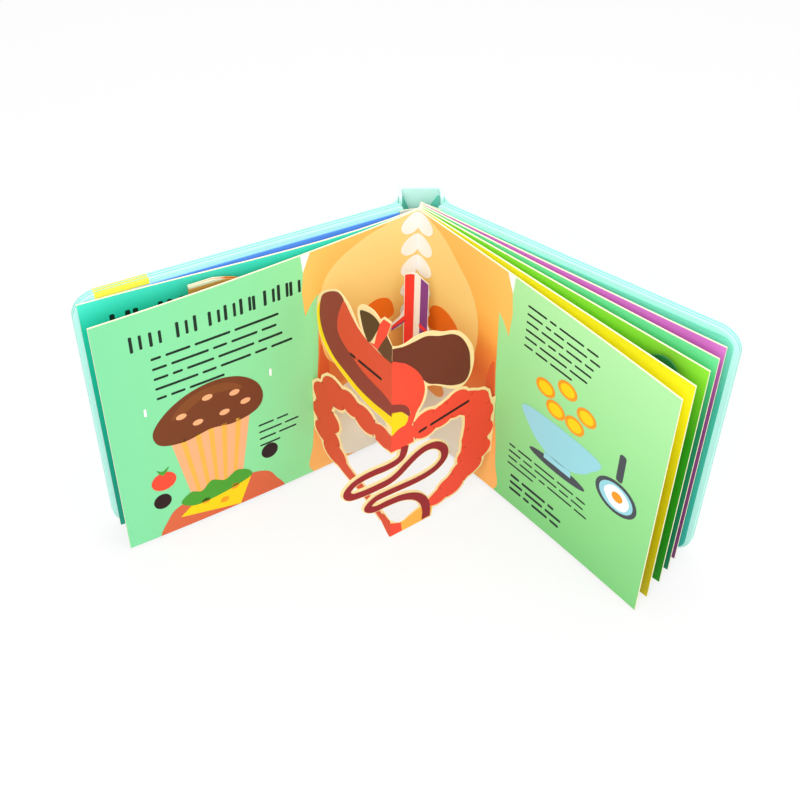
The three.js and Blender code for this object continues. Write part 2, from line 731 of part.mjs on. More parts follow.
const foldedRight = [openRight, ...closedRight];
for (let index = 1; index < foldedRight.length; index += 1) {
  const [shape, reach] = index === 2 ? [headFold, LONG_FOLDED_REACH] : [roundFold, FOLDED_REACH];
  const geometry = makeFolded(foldedRight[index - 1], foldedRight[index], shape, FOLD_TAB, reach);
  addPiece(`folded_popup_${index + 3}`, geometry, COLOURS.green, 0.45);
}

for (const side of ['left', 'right']) {
  const name = side === 'left' ? 'front' : 'back';
  const angle = side === 'left' ? LEFT_COVER_ANGLE : -RIGHT_COVER_ANGLE;
  const hinge = new THREE.Group();
  hinge.position.set(hingePoint(side).x, hingePoint(side).y, 0);
  hinge.rotation.z = radians(angle);
  addPiece(`${name}_cover`, makeCover(side), COLOURS.cover, 0.4, hinge);
  const sheet = side === 'left' ? COLOURS.blue : COLOURS.teal;
  addPiece(`${name}_pastedown`, makePastedown(side), sheet, 0.45, hinge);
  book.add(hinge);
}

book.updateMatrixWorld(true);
const box = new THREE.Box3().setFromObject(book, true);
book.position.set(-(box.min.x + box.max.x) / 2, -(box.min.y + box.max.y) / 2, -box.min.z);

export default book;
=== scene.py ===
# %% [markdown]
# # A pop-up book standing open
# The real book has thick printed leaves, cards that stand up when a spread opens, and covers that
# are padded with foam under a plastic skin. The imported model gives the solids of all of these.
# They could be modelled again here, but the solids already fit, so this script dresses them: it
# prints each leaf, pads the covers, joins them to the spine with a soft skin, and sets the camera
# and the light.

# %% Load the frame
import math

import bmesh
import bpy
from mathutils import Matrix, Vector


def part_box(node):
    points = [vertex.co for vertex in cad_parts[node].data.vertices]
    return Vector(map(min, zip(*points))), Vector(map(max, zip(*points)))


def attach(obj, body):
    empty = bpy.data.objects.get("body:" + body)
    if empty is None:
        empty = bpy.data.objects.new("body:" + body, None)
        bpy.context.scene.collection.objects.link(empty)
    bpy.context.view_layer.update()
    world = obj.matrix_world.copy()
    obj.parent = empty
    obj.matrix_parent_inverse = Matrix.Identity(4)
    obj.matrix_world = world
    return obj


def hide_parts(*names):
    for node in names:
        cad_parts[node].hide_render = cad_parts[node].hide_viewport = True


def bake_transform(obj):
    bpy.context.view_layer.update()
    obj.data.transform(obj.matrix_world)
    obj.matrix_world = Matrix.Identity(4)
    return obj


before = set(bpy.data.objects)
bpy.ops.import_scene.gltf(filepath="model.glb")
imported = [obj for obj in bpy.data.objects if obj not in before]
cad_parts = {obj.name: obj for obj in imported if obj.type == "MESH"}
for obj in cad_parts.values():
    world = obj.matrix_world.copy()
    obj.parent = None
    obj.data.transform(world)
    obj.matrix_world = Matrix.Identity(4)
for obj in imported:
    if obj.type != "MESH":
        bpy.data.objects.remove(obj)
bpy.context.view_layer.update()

# %% [markdown]
# ## Layout
# The sizes are those of the real book, in millimetres. Print has to lie on leaves that lean and
# bow, so places are worked out in the book's own plan: the gutter of the open spread is the
# origin, z = 0 is the ground, and the spine's box says where the gutter lies in the frame.

# %% Sizes
MM = 0.001
PAGE_WIDTH = 235.0
PAGE_HEIGHT = 214.0
PAGE_BOTTOM = 3.0
LEAF_THICKNESS = 1.2
BOW_STEPS = 10
COVER_WIDTH = 228.0
COVER_HEIGHT = 220.0
COVER_THICKNESS = 8.1
COVER_CORNER = 17.0
HINGE_CORNER = 3.0
PADDING_DEPTH = 3.4
PADDING_ROUNDING = 6.0
SWING_CLEARANCE = 0.6
SPINE_WIDTH = 30.4
SPINE_DEPTH = 13.2
SPINE_WALL = 2.0
SPINE_CENTRE_X = 2.3
SPINE_FRONT_Y = 8.5
CARD = 0.6
CARD_CLEARANCE = 0.3

SIDE_SIGN = {"left": -1.0, "right": 1.0}
COVER_ANGLE = {"left": 22.8, "right": 37.6}

spine_low, spine_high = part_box("spine")
GUTTER = Vector((
    (spine_low[0] + spine_high[0]) / 2 - SPINE_CENTRE_X * MM,
    spine_high[1] - (SPINE_FRONT_Y + SPINE_DEPTH) * MM,
    0.0,
))
print("gutter at", tuple(round(v, 4) for v in GUTTER))


def in_frame(x, y, z):
    """A point of the layout, in metres in the frame."""
    return GUTTER + Vector((x, y, z)) * MM


# %% [markdown]
# ## Leaves
# A leaf of thick board bows a little when the book stands open. Seen from above it is a bent
# strip. It could be read off the solid's mesh, but a formula is shorter and can be followed: a
# point is given by its distance from the gutter and by how far it is raised off the face that
# looks at the reader of the open spread.

# %% Leaves
def even_bow(share):
    """The bow of a leaf that bends most at its middle. It is 1 there and 0 at both ends."""
    return 4 * share * (1 - share)


def gutter_bow(share):
    """The bow of a leaf that bends most at a third of its width. It is 1 there."""
    return 27 / 4 * share * (1 - share) ** 2


class Leaf:
    """One leaf, given by its side, its angle from the line of the spine's back and its bow."""

    def __init__(self, side, angle, bow, root=(0.0, 0.0), profile=even_bow):
        sign = SIDE_SIGN[side]
        turn = math.radians(angle)
        self.bow = bow
        self.profile = profile
        self.root = Vector(root)
        self.out = Vector((sign * math.cos(turn), -math.sin(turn)))
        self.front = Vector((-sign * math.sin(turn), -math.cos(turn)))

    def lift(self, s):
        """The bow at distance s, straight between the steps of the solid."""
        place = min(max(s / PAGE_WIDTH * BOW_STEPS, 0.0), BOW_STEPS)
        low = min(int(place), BOW_STEPS - 1)
        at = [self.bow * self.profile(k / BOW_STEPS) for k in (low, low + 1)]
        return at[0] + (at[1] - at[0]) * (place - low)

    def plan(self, s, raised=0.0):
        """The plan point at distance s from the root."""
        return self.root + self.out * s + self.front * (self.lift(s) + raised)

    def at(self, s, z, raised=0.0):
        """The point of the frame at distance s and at height z above the leaf's bottom edge."""
        point = self.plan(s, raised)
        return in_frame(point.x, point.y, PAGE_BOTTOM + z)


LAST_ROOT = Vector((1.3, 8.0))
open_left = Leaf("left", 27.9, 3.0)
outer_left = Leaf("left", 22.5, 5.0, (0.7, 1.7), gutter_bow)
open_right = Leaf("right", 52.0, -2.0)
closed_right = [
    Leaf("right", angle, bow, LAST_ROOT * ((k + 1) / 4))
    for k, (angle, bow) in enumerate(zip((48.7, 45.0, 42.2, 39.7), (-1.6, -1.2, -0.8, 0.0)))
]
STEP_LINES = [PAGE_WIDTH * k / BOW_STEPS for k in range(1, BOW_STEPS)]
print("leaves:", 3 + len(closed_right))

# %% [markdown]
# ## Papers and skins
# Real print and plastic skin are never one even colour: ink drifts, paper has a grain and the
# skin has a faint gloss. A picture could give that, but noise keeps the file to itself, so every
# material blends two near colours with one noise and lifts a fine grain with another. Colours
# are written as they look on screen.

# %% Colours
def linear(code):
    """A screen colour such as 9AEFA8 as linear light."""
    parts = [int(code[k : k + 2], 16) / 255 for k in (0, 2, 4)]
    light = [c / 12.92 if c <= 0.04045 else ((c + 0.055) / 1.055) ** 2.4 for c in parts]
    return (*light, 1.0)


print("mint of the cover in linear light", [round(c, 3) for c in linear("B6F4E6")])

# %% [markdown]
# One function makes every finish, because card, ink and plastic differ only in colour, roughness,
# grain and coat.

# %% Drift and grain
PATCH_SCALE = 9.0
GRAIN_DEPTH = 0.0004
SECOND_SHADE = 0.93


def surface(name, colour, other=None, roughness=0.5, grain=900.0, relief=0.04, coat=0.0):
    """A material that drifts between two near colours and has a fine grain."""
    made = bpy.data.materials.new(name)
    made.use_nodes = True
    nodes, links = made.node_tree.nodes, made.node_tree.links
    shader = nodes["Principled BSDF"]
    place = nodes.new("ShaderNodeTexCoord")
    drift = nodes.new("ShaderNodeTexNoise")
    drift.inputs["Scale"].default_value = PATCH_SCALE
    drift.inputs["Detail"].default_value = 3.0
    blend = nodes.new("ShaderNodeMix")
    blend.data_type = "RGBA"
    blend.inputs["A"].default_value = linear(colour)
    if other is None:
        blend.inputs["B"].default_value = [c * SECOND_SHADE for c in linear(colour)[:3]] + [1.0]
    else:
        blend.inputs["B"].default_value = linear(other)
    fine = nodes.new("ShaderNodeTexNoise")
    fine.inputs["Scale"].default_value = grain
    bump = nodes.new("ShaderNodeBump")
    bump.inputs["Strength"].default_value = relief
    bump.inputs["Distance"].default_value = GRAIN_DEPTH
    links.new(place.outputs["Object"], drift.inputs["Vector"])
    links.new(place.outputs["Object"], fine.inputs["Vector"])
    links.new(drift.outputs["Fac"], blend.inputs["Factor"])
    links.new(blend.outputs["Result"], shader.inputs["Base Color"])
    links.new(fine.outputs["Fac"], bump.inputs["Height"])
    links.new(bump.outputs["Normal"], shader.inputs["Normal"])
    shader.inputs["Roughness"].default_value = roughness
    shader.inputs["Specular IOR Level"].default_value = 0.2
    shader.inputs["Coat Weight"].default_value = coat
    shader.inputs["Coat Roughness"].default_value = 0.25
    return made


def ink(name, colour, other=None):
    """Matt printing ink on card."""
    return surface(name, colour, other, roughness=0.55, relief=0.02)


# %% [markdown]
# The pages and the body's orange get lighter with height, as print does that a soft light falls
# on. A colour ramp along one axis gives that with a few stops, and stays true in every view.

# %% Inks that fade
def fading_ink(name, stops, axis="Z"):
    """An ink that changes along an axis. stops is a list of (place in mm, colour)."""
    made = ink(name, stops[0][1])
    nodes, links = made.node_tree.nodes, made.node_tree.links
    blend = next(n for n in nodes if n.bl_idname == "ShaderNodeMix")
    place = next(n for n in nodes if n.bl_idname == "ShaderNodeTexCoord")
    low, span = stops[0][0], stops[-1][0] - stops[0][0]
    split = nodes.new("ShaderNodeSeparateXYZ")
    share = nodes.new("ShaderNodeMath")
    share.operation = "MULTIPLY_ADD"
    share.inputs[1].default_value = 1 / (span * MM)
    share.inputs[2].default_value = -low / span
    ramp = nodes.new("ShaderNodeValToRGB")
    band = ramp.color_ramp
    while len(band.elements) < len(stops):
        band.elements.new(0.5)
    for element, (spot, colour) in zip(band.elements, stops):
        element.position = (spot - low) / span
        element.color = linear(colour)
    dark = nodes.new("ShaderNodeMix")
    dark.data_type = "RGBA"
    dark.blend_type = "MULTIPLY"
    dark.inputs["Factor"].default_value = 0.5
    dark.inputs["B"].default_value = (0.93, 0.92, 0.9, 1.0)
    links.new(place.outputs["Object"], split.inputs["Vector"])
    links.new(split.outputs[axis], share.inputs[0])
    links.new(share.outputs["Value"], ramp.inputs["Fac"])
    links.new(ramp.outputs["Color"], blend.inputs["A"])
    links.new(ramp.outputs["Color"], dark.inputs["A"])
    links.new(dark.outputs["Result"], blend.inputs["B"])
    return made


print("inks can fade along X or Z")

# %% [markdown]
# One table holds every paper and ink of the book, so a colour is changed in one place.

# %% Papers and inks
PAPER = {
    "edge": surface("card_edge", "FCF5D8", "F3E7C0", roughness=0.8, relief=0.15),
    "green": fading_ink("print_green", [(-200, "82DDA4"), (-90, "90E6A2"), (13, "B2F3A6")], "X"),
    "green_right": fading_ink("print_green_right", [(3, "80D080"), (110, "98E294"), (217, "B4F2AA")]),
    # The teal, yellow, lime, mint, purple and aqua strips are dark at the bottom and light at the top:
    # painted shade where the leaves in front keep the light off, and painted light from above.
    "teal": fading_ink("print_teal", [(3, "1FA88E"), (150, "14C6A6"), (196, "1ED2B0"), (217, "55F4DA")]),
    "blue": ink("print_blue", "79B6FA", "6EACF4"),
    "yellow": fading_ink("print_yellow", [(3, "CFC20A"), (120, "E3D90C"), (190, "FFF81C"), (217, "FFFA30")]),
    "lime": fading_ink("print_lime", [(3, "1F9A10"), (150, "3CB41A"), (196, "86E02C"), (217, "A8F648")]),
    "mint": fading_ink("print_mint", [(3, "0E8A5C"), (150, "2FA873"), (198, "62DD92"), (217, "8CF7B2")]),
    "purple": fading_ink("print_purple", [(3, "8A4A80"), (160, "A85C9E"), (200, "D27AC6"), (217, "EE92E2")]),
    "aqua": fading_ink("print_aqua", [(3, "3DBFAE"), (160, "52CEB0"), (217, "96F0D4")]),
    "cream": ink("print_cream", "FFDFA6", "FBD598"),
    "body": fading_ink("print_body", [(90, "F8B05A"), (125, "FCC873"), (160, "FEDD8A"), (214, "FEE294")]),
    "body_deep": fading_ink("print_body_deep", [
        (3, "FFB66A"), (60, "FDAE62"), (88, "F08A48"), (112, "E8722F"), (135, "F28C36"), (152, "FFB24E"),
        (170, "FFC45E"), (214, "FFCA68"),
    ]),
    "tall_fold": fading_ink("print_tall_fold", [
        (3, "F08028"), (213.6, "F59A45"), (214.0, "FFF0CE"), (217, "FFF4D8"),
    ]),
    "kidney": ink("print_kidney", "F57A18", "EC6E10"),
    "white": ink("print_white", "FFFFFF", "FBFBF9"),
    "hip": fading_ink("print_hip", [(3, "FFB866"), (84, "FBA458")]),
    "flank": ink("print_flank", "E2622A", "DE5C26"),
    "pelvis": ink("print_pelvis", "FFFBF2", "F8F2E6"),
    "text": ink("print_text", "10241B", "16301F"),
    "black": ink("print_black", "220806", "2C0D0A"),
    "forest": ink("print_forest", "2E7D46", "27703D"),
    "red": ink("print_red", "FC4C34", "F4432C"),
    # A darker copy of the red, for the organs' left wing: painted shade.
    "red_in_shade": ink("print_red_in_shade", "E2502F", "D94628"),
    "red_deep": ink("print_red_deep", "D23420", "C82C1A"),
    "liver": ink("print_liver", "75301C", "6A2A18"),
    # The liver's brown darkened to olive, and darker still in the lobe, for the left wing: painted shade.
    "olive": ink("print_liver_in_shade", "6B4020", "60391C"),
    "lobe": ink("print_lobe_in_shade", "5F3D1A", "553615"),
    "spleen": ink("print_spleen", "8C2F28", "98422F"),
    "gold": ink("print_gold", "FFD800", "FFCF00"),
    "gut": ink("print_gut", "9C1C24", "92171F"),
    "vein": ink("print_vein", "8E4A9C", "834190"),
    "artery": ink("print_artery", "FF4338", "F53A30"),
    "peach": ink("print_peach", "FFB84D", "FFAE3F"),
    "brown": ink("print_brown", "6E3413", "7C3D18"),
    "skin": ink("print_skin", "FBB483", "F7A974"),
    "glaze": ink("print_glaze", "8A4A1C", "7E4218"),
    "cloth": ink("print_cloth", "DE6A42", "D5603A"),
    "leafgreen": ink("print_leafgreen", "4DA32F", "459827"),
    "grey": ink("print_grey", "4A4F55", "42474D"),
    "glass_blue": ink("print_glass_blue", "9FDDE8", "94D4E0"),
    "yolk": ink("print_yolk", "F9A21C", "F39712"),
}
print("papers and inks:", len(PAPER))

# %% [markdown]
# The covers' skin is a soft mint plastic with a thin clear coat. Its welds and folds are the same
# plastic in a deeper tone, because less light reaches them.

# %% Skins of the covers
def plastic(name, colour, other, roughness):
    """The soft plastic skin of a padded cover."""
    return surface(name, colour, other, roughness, grain=420.0, relief=0.06, coat=0.2)


SKIN = plastic("cover_skin", "B6F4E6", "C4FAF0", 0.36)
SEAM_SHADE = plastic("cover_seam_shade", "74DCC6", "83E4D0", 0.4)
# The spine's skin is the same plastic made lighter: painted light, for the inside of the spine's head that
# little light reaches.
SPINE_SKIN_LIGHTENED = plastic("spine_skin_lightened", "D0FFF4", "DEFFFA", 0.36)
PLEAT_SHADE = plastic("cover_fold_shade", "63CDB6", "78DAC6", 0.4)
print("materials:", len(bpy.data.materials))

# %% [markdown]
# ## Flat shapes
# The real leaves carry flat shapes of colour. An image could hold them, but outlines stay sharp at
# any size and need no file, so print is drawn as closed outlines in the plane of its sheet: u runs
# away from the fold and v is the height above the pages' bottom edge.

# %% Smooth curves
def curve_span(p0, p1, p2, p3, steps):
    """Points of a smooth curve from p1 up to p2, steered by its neighbours p0 and p3."""
    span = []
    for step in range(steps):
        t = step / steps
        bend = (2 * p0 - 5 * p1 + 4 * p2 - p3) * t * t + (3 * p1 - p0 - 3 * p2 + p3) * t ** 3
        span.append(0.5 * (2 * p1 + (p2 - p0) * t + bend))
    return span


def smooth(points, steps=6):
    """A closed curve through the points."""
    count = len(points)
    made = []
    for k in range(count):
        made += curve_span(*(Vector(points[(k + j) % count]) for j in (-1, 0, 1, 2)), steps)
    return [tuple(p) for p in made]


print("a smoothed square has", len(smooth([(0, 0), (1, 0), (1, 1), (0, 1)])), "points")

# %% [markdown]
# Simple shapes come from a formula: round fruits and holes, whole pages, and bars with round ends
# that stand for letters and words.

# %% Simple outlines
def ellipse(u, v, radius_u, radius_v, count=32):
    turn = 2 * math.pi / count
    return [(u + radius_u * math.cos(k * turn), v + radius_v * math.sin(k * turn)) for k in range(count)]


def box_outline(u0, v0, u1, v1):
    return [(u0, v0), (u1, v0), (u1, v1), (u0, v1)]


PILL_ROUNDNESS = 0.8


def pill(u0, v0, u1, v1, count=5):
    """A bar with rounded ends."""
    radius = PILL_ROUNDNESS * min(abs(u1 - u0), abs(v1 - v0)) / 2
    points = []
    corners = ((u1, v1, 0, -1, -1), (u0, v1, 90, 1, -1), (u0, v0, 180, 1, 1), (u1, v0, 270, -1, 1))
    for u, v, start, du, dv in corners:
        for k in range(count):
            turn = math.radians(start + 90 * k / (count - 1))
            points.append((u + radius * (du + math.cos(turn)), v + radius * (dv + math.sin(turn))))
    return points


print("a bar has", len(pill(0, 0, 10, 2)), "points")

# %% [markdown]
# The bowels are bands of changing width. A band is a row of small quads along a smooth
# line, which fills cleanly where one long outline would cross itself at a bend.

# %% Bands
def open_curve(points, steps=6):
    """A smooth line through the points."""
    ends = [Vector(points[0]) * 2 - Vector(points[1]), Vector(points[-1]) * 2 - Vector(points[-2])]
    line = [ends[0], *(Vector(p) for p in points), ends[1]]
    made = []
    for k in range(1, len(line) - 2):
        made += curve_span(*line[k - 1 : k + 3], steps)
    made.append(line[-2])
    return made


def ribbon(points, half_widths):
    """Quads of a band along a line, whose half width changes along it."""
    line = open_curve(points)
    sides = []
    for k, point in enumerate(line):
        along = (line[min(k + 1, len(line) - 1)] - line[max(k - 1, 0)]).normalized()
        place = k / (len(line) - 1) * (len(half_widths) - 1)
        low = min(int(place), len(half_widths) - 2)
        half = half_widths[low] + (half_widths[low + 1] - half_widths[low]) * (place - low)
        across = Vector((-along.y, along.x)) * half
        sides.append((tuple(point + across), tuple(point - across)))
    return [[sides[k][0], sides[k][1], sides[k + 1][1], sides[k + 1][0]] for k in range(len(sides) - 1)]


print("a short band has", len(ribbon([(0, 0), (10, 0)], (2, 1))), "quads")

# %% [markdown]
# Small type reads as grey lines from a short way off, so rows of dark bars stand for it, with the
# place, height and rhythm of lines of words.

# %% Words as bars
def words(u_from, u_to, v, height, lengths, gap):
    """Bars that stand for a line of words, read from u_from towards u_to."""
    way = 1 if u_to > u_from else -1
    bars = []
    u = u_from
    for length in lengths:
        end = u + way * length
        if (u_to - end) * way < 0:
            break
        bars.append(pill(min(u, end), v, max(u, end), v + height))
        u = end + way * gap
    return bars


print("bars in a line:", len(words(0, 60, 0, 2, [10, 20, 15], 3)))

# %% [markdown]
# ## Sheets of print
# Real ink soaks into the paper and has no thickness. A material with masks could show it, but
# many shapes would make it slow and hard to read. So a print is one thin mesh: each outline is
# filled, cut along the steps of the bowed leaf, and laid just above its sheet. An ink of a higher
# level lies a hair above the lower ones.

# %% A mesh and a filled outline
INK_STEP = 0.035
SHEET_RAISE = 0.05


def new_object(name, vertices, faces, materials, indices=None, is_smooth=False):
    """A new mesh object in the scene. indices gives each face's material."""
    mesh = bpy.data.meshes.new(name)
    mesh.from_pydata([tuple(v) for v in vertices], [], faces)
    for material in materials:
        mesh.materials.append(material)
    if indices is not None:
        mesh.polygons.foreach_set("material_index", indices)
    mesh.polygons.foreach_set("use_smooth", [is_smooth] * len(mesh.polygons))
    mesh.update()
    made = bpy.data.objects.new(name, mesh)
    bpy.context.scene.collection.objects.link(made)
    return made


def filled(outline, cuts, limits):
    """The outline as triangles in its plane, cut at the given u lines and kept inside the limits."""
    shape = bmesh.new()
    face = shape.faces.new([shape.verts.new((p[0], p[1], 0.0)) for p in outline])
    face.normal_update()
    bmesh.ops.triangulate(shape, faces=[face], quad_method="FIXED", ngon_method="EAR_CLIP")
    planes = [((u, 0, 0), (1, 0, 0), False) for u in cuts]
    if limits is not None:
        u0, v0, u1, v1 = limits
        planes += [((u0, 0, 0), (-1, 0, 0), True), ((u1, 0, 0), (1, 0, 0), True)]
        planes += [((0, v0, 0), (0, -1, 0), True), ((0, v1, 0), (0, 1, 0), True)]
    for point, normal, clear in planes:
        everything = shape.verts[:] + shape.edges[:] + shape.faces[:]
        bmesh.ops.bisect_plane(shape, geom=everything, plane_co=point, plane_no=normal, clear_outer=clear)
    shape.verts.index_update()
    points = [(v.co.x, v.co.y) for v in shape.verts]
    faces = [[v.index for v in f.verts] for f in shape.faces]
    shape.free()
    return points, faces


print("inks lie", INK_STEP, "mm apart")

# %% [markdown]
# A filled outline is flat. The sheet's own place function carries its points to the leaf or the
# wing, and each face is turned outwards, because a face seen from behind would be shaded wrongly.

# %% Laying a print on its sheet
GUTTER_GAP = 0.05


def is_mirrored(place):
    """Whether the sheet's u and v turn the other way round when seen from outside."""
    at, along, over, off = (Vector(place(*p)) for p in ((5, 50, 0), (6, 50, 0), (5, 51, 0), (5, 50, 1)))
    return (along - at).cross(over - at).dot(off - at) < 0


def printed(name, place, inks, cuts=(), limits=None):
    """One mesh of print. inks is a list of (material, outline or outlines, level)."""
    vertices, faces, indices, materials = [], [], [], []
    mirrored = is_mirrored(place)
    for material, outlines, level in inks:
        if not isinstance(outlines[0][0], (tuple, list)):
            outlines = [outlines]
        if material not in materials:
            materials.append(material)
        for outline in outlines:
            points, parts = filled(outline, cuts, limits)
            base = len(vertices)
            vertices += [place(u, v, SHEET_RAISE + level * INK_STEP) for u, v in points]
            for part in parts:
                corners = [points[k] for k in part]
                turn = sum(a[0] * b[1] - a[1] * b[0] for a, b in zip(corners, corners[1:] + corners[:1]))
                faces.append([base + k for k in (part[::-1] if (turn < 0) != mirrored else part)])
            indices += [materials.index(material)] * len(parts)
    made = new_object(name, vertices, faces, materials, indices)
    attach(made, "book_block")


def page_print(name, leaf, inks, is_back=False):
    """Print on a leaf's front, or on its back."""
    def place(u, v, raised):
        return leaf.at(u, v, -LEAF_THICKNESS - raised if is_back else raised)

    printed(name, place, inks, cuts=STEP_LINES, limits=(GUTTER_GAP, 0.0, PAGE_WIDTH, PAGE_HEIGHT))


WHOLE = box_outline(0.0, 0.0, PAGE_WIDTH, PAGE_HEIGHT)
print("a page is", PAGE_WIDTH, "by", PAGE_HEIGHT, "mm")

# %% [markdown]
# ## Closed spreads
# In the real book each spread has its own ground colour, and the fanned leaves show it as narrow
# strips. Only those strips are seen, so each of these pages gets one ink, and the outer left leaf
# also gets the letters of its title as bars.

# %% Print of the closed spreads
OUTER_TITLE = (215, 205, 200, 184, 178, 170, 165)
# Each strip's ink darkens towards the bottom: painted shade from the leaves in front.
right_colours = ["yellow", "lime", "mint", "purple"]
page_print("outer_left_front", outer_left, [
    (PAPER["teal"], WHOLE, 0),
    (PAPER["text"], [pill(u - 1.7, 184, u + 1.7, 199.5) for u in OUTER_TITLE], 1),
])
page_print("outer_left_back", outer_left, [(PAPER["blue"], WHOLE, 0)], True)
page_print("open_left_back", open_left, [(PAPER["teal"], WHOLE, 0)], True)
page_print("open_right_back", open_right, [(PAPER["yellow"], WHOLE, 0)], True)
for k, leaf in enumerate(closed_right):
    page_print(f"right_{k + 2}_front", leaf, [(PAPER[right_colours[k]], WHOLE, 0)])
    behind = (right_colours + ["aqua"])[k + 1]
    page_print(f"right_{k + 2}_back", leaf, [(PAPER[behind], WHOLE, 0)], True)
print("closed spreads printed")

# %% [markdown]
# ## The open spread
# A body in warm colours stands across the gutter on a green ground. It is the back wall of the
# standing organs, so its colours have to sit well behind them. Both halves come from one
# function, because they differ only in the chest and the kidney.

# %% The body across the gutter
CHEST = {
    "left": [
        (-10, 214), (30, 212), (50, 206), (66, 197), (76, 183), (79.5, 160), (79, 132), (72, 108), (50, 98),
        (-10, 94),
    ],
    "right": [
        (-10, 216), (14, 211), (28, 203), (40, 191), (52, 178), (60, 160), (62, 138), (58, 116), (44, 100),
        (-10, 94),
    ],
}
KIDNEY = {
    "left": [(20, 128), (20.5, 138), (25, 146), (34, 149), (43, 145), (45, 136), (38, 129), (29, 126)],
    "right": [(14, 116), (13, 128), (17, 138), (26, 142), (36, 139), (44, 130), (42, 120), (28, 116)],
}


def body_inks(side):
    """The trunk with an upper arm, drawn from the gutter outwards."""
    trunk = [(0, 0), (90, 0), (90, 12), (87, 50), (84, 82), (81.5, 120), (80, 178), (80, 214), (0, 214)]
    arm = [(79, 177), (85, 170), (90.5, 160), (92.2, 182), (90.5, 199), (85, 214), (79, 214)]
    cuff = [(85, 214), (92, 214), (90.8, 199)]
    hip = smooth([(91, 3), (89, 30), (87, 56), (84, 74), (74, 84), (40, 80), (-8, 76), (-8, -6), (60, -6)])
    pelvis = smooth([
        (6, 20), (14, 50), (34, 74), (58, 80), (73, 68), (77, 44), (73, 16), (58, 2), (30, -2), (10, 4),
    ])
    flank = smooth([(83, 80), (81, 104), (79.5, 128), (75, 118), (73, 98), (76, 84)])
    return [
        (PAPER["body_deep"], trunk, 1),
        (PAPER["body_deep"], arm, 1.4),
        (PAPER["white"], cuff, 1),
        (PAPER["hip"], hip, 2),
        (PAPER["flank"], flank, 2.5),
        (PAPER["body"], smooth(CHEST[side]), 3),
        (PAPER["pelvis"], pelvis, 4),
        (PAPER["hip"], ellipse(22, 60, 10, 9), 5),
        (PAPER["kidney"], smooth(KIDNEY[side]), 5),
    ]


print("shapes of the body on one page:", len(body_inks("left")))

# %% [markdown]
# The bones of the spine straddle the gutter, so each leaf carries one half of every bone.

# %% Bones
VERTEBRA_EDGE = [(0, -4), (1.5, -6), (5, -7.5), (10.5, -6.5), (14, -2), (13.5, 3), (9, 7.5), (4, 9.5), (0, 9)]


def vertebra(v):
    """Half of a heart-shaped bone of the spine, seen from the front."""
    half = open_curve([(u, v + height) for u, height in VERTEBRA_EDGE], 4)
    return [(-0.5, v - 4), *[tuple(p) for p in half], (-0.5, v + 9)]


VERTEBRAE = [vertebra(v) for v in (204, 185, 166, 147, 128)]
print("bones:", len(VERTEBRAE))

# %% [markdown]
# The left page has a title, a paragraph, a caption and a still life. The title's letters are
# thin and crowded, so its bars stand upright, while those of the small type lie flat.

# %% Words of the left page
LETTER_UNEVENNESS = (0.8, -0.6, 0.3)


def lettering(starts, v, height):
    """Thin upright bars, most of them in pairs, as dense as hand lettering."""
    bars = []
    for k, u in enumerate(starts):
        tall = height + LETTER_UNEVENNESS[k % 3]
        bars.append(pill(u - 1.1, v, u + 1.1, v + tall))
        if k % 4 != 3:
            bars.append(pill(u - 7.2, v + 0.5, u - 5.2, v + tall - 1.0))
    return bars


title = lettering((211, 198, 180, 168, 158, 147, 136, 127, 119, 109, 100), 183, 13)

paragraph = []
line_lengths = [
    [7, 17, 25, 32], [10, 26, 10, 19, 11], [10, 7, 19, 26, 18], [30, 10, 22, 9, 16], [7, 10, 25],
]
for k, lengths in enumerate(line_lengths):
    paragraph += words(200, 97, 170.8 - 9.0 * k, 2.2, lengths, 3.0)
caption = []
for k, lengths in enumerate([[12, 9], [18, 11], [13, 14], [16]]):
    caption += words(131, 97, 72.6 - 7.0 * k, 1.7, lengths, 2.4)
print("bars on the left page:", len(title) + len(paragraph) + len(caption))

# %% [markdown]
# The muffin was drawn on a square grid and then widened, which is easier to adjust than every
# point of its outlines.

# %% A muffin
MUFFIN_WIDENING = 1.22
MUFFIN_SHIFT = -36.5
CUP_MIDDLE = 166
CUP_TAPER = 0.66


def muffin(u, v):
    return u * MUFFIN_WIDENING + MUFFIN_SHIFT, v


muffin_top = smooth([muffin(*p) for p in (
    (196, 92), (199, 106), (190, 121), (176, 131), (160, 134), (146, 129), (136, 117), (133, 102), (138, 91),
    (152, 87), (166, 90), (182, 87),
)])
muffin_cup = [muffin(*p) for p in ((190, 91), (142, 91), (150, 30), (182, 30))]
cup_folds = []
for u in (183, 174, 166, 158, 149):
    foot_u = CUP_MIDDLE + (u - CUP_MIDDLE) * CUP_TAPER
    fold = ((u + 1.6, 90), (u - 1.6, 90), (foot_u - 1.1, 31), (foot_u + 1.1, 31))
    cup_folds.append([muffin(*p) for p in fold])
crumbs = [ellipse(*muffin(u, v), 3.8, 2.6) for u, v in (
    (182, 112), (166, 121), (150, 116), (173, 101), (157, 101), (144, 104),
)]
glaze = smooth([muffin(*p) for p in (
    (188, 112), (180, 124), (166, 130), (152, 127), (145, 118), (156, 121), (168, 122), (180, 114),
)])
print("muffin outlines:", 3 + len(cup_folds) + len(crumbs))

# %% [markdown]
# Around the muffin lies the rest of the still life, with a small spark on either side. Then the
# whole page is printed in one mesh, from the ground colour upwards.

# %% The left page
cloth = smooth([(206, -8), (204, 16), (190, 26), (160, 30), (132, 26), (121, 14), (120, -8)])
cheese = [(196, 12), (150, 0.5), (140, 26), (168, 36)]
cheese_holes = [ellipse(u, v, 3.4, 2.8) for u, v in ((176, 19), (162, 12), (153, 22))]
lettuce = smooth([
    (194, 26), (186, 34), (178, 31), (170, 38), (160, 33), (150, 38), (140, 31), (144, 24), (180, 18),
])
olives = [ellipse(u, v, 6.5, 7.5) for u, v in ((207, 36), (124, 44))]
tomato = ellipse(204, 56, 9, 9)
tomato_leaf = smooth([(204, 66), (208, 69), (204, 62), (199, 69)])
sparks = [pill(u - 0.9, v, u + 0.9, v + 7) for u, v in ((209, 124), (119, 118))]

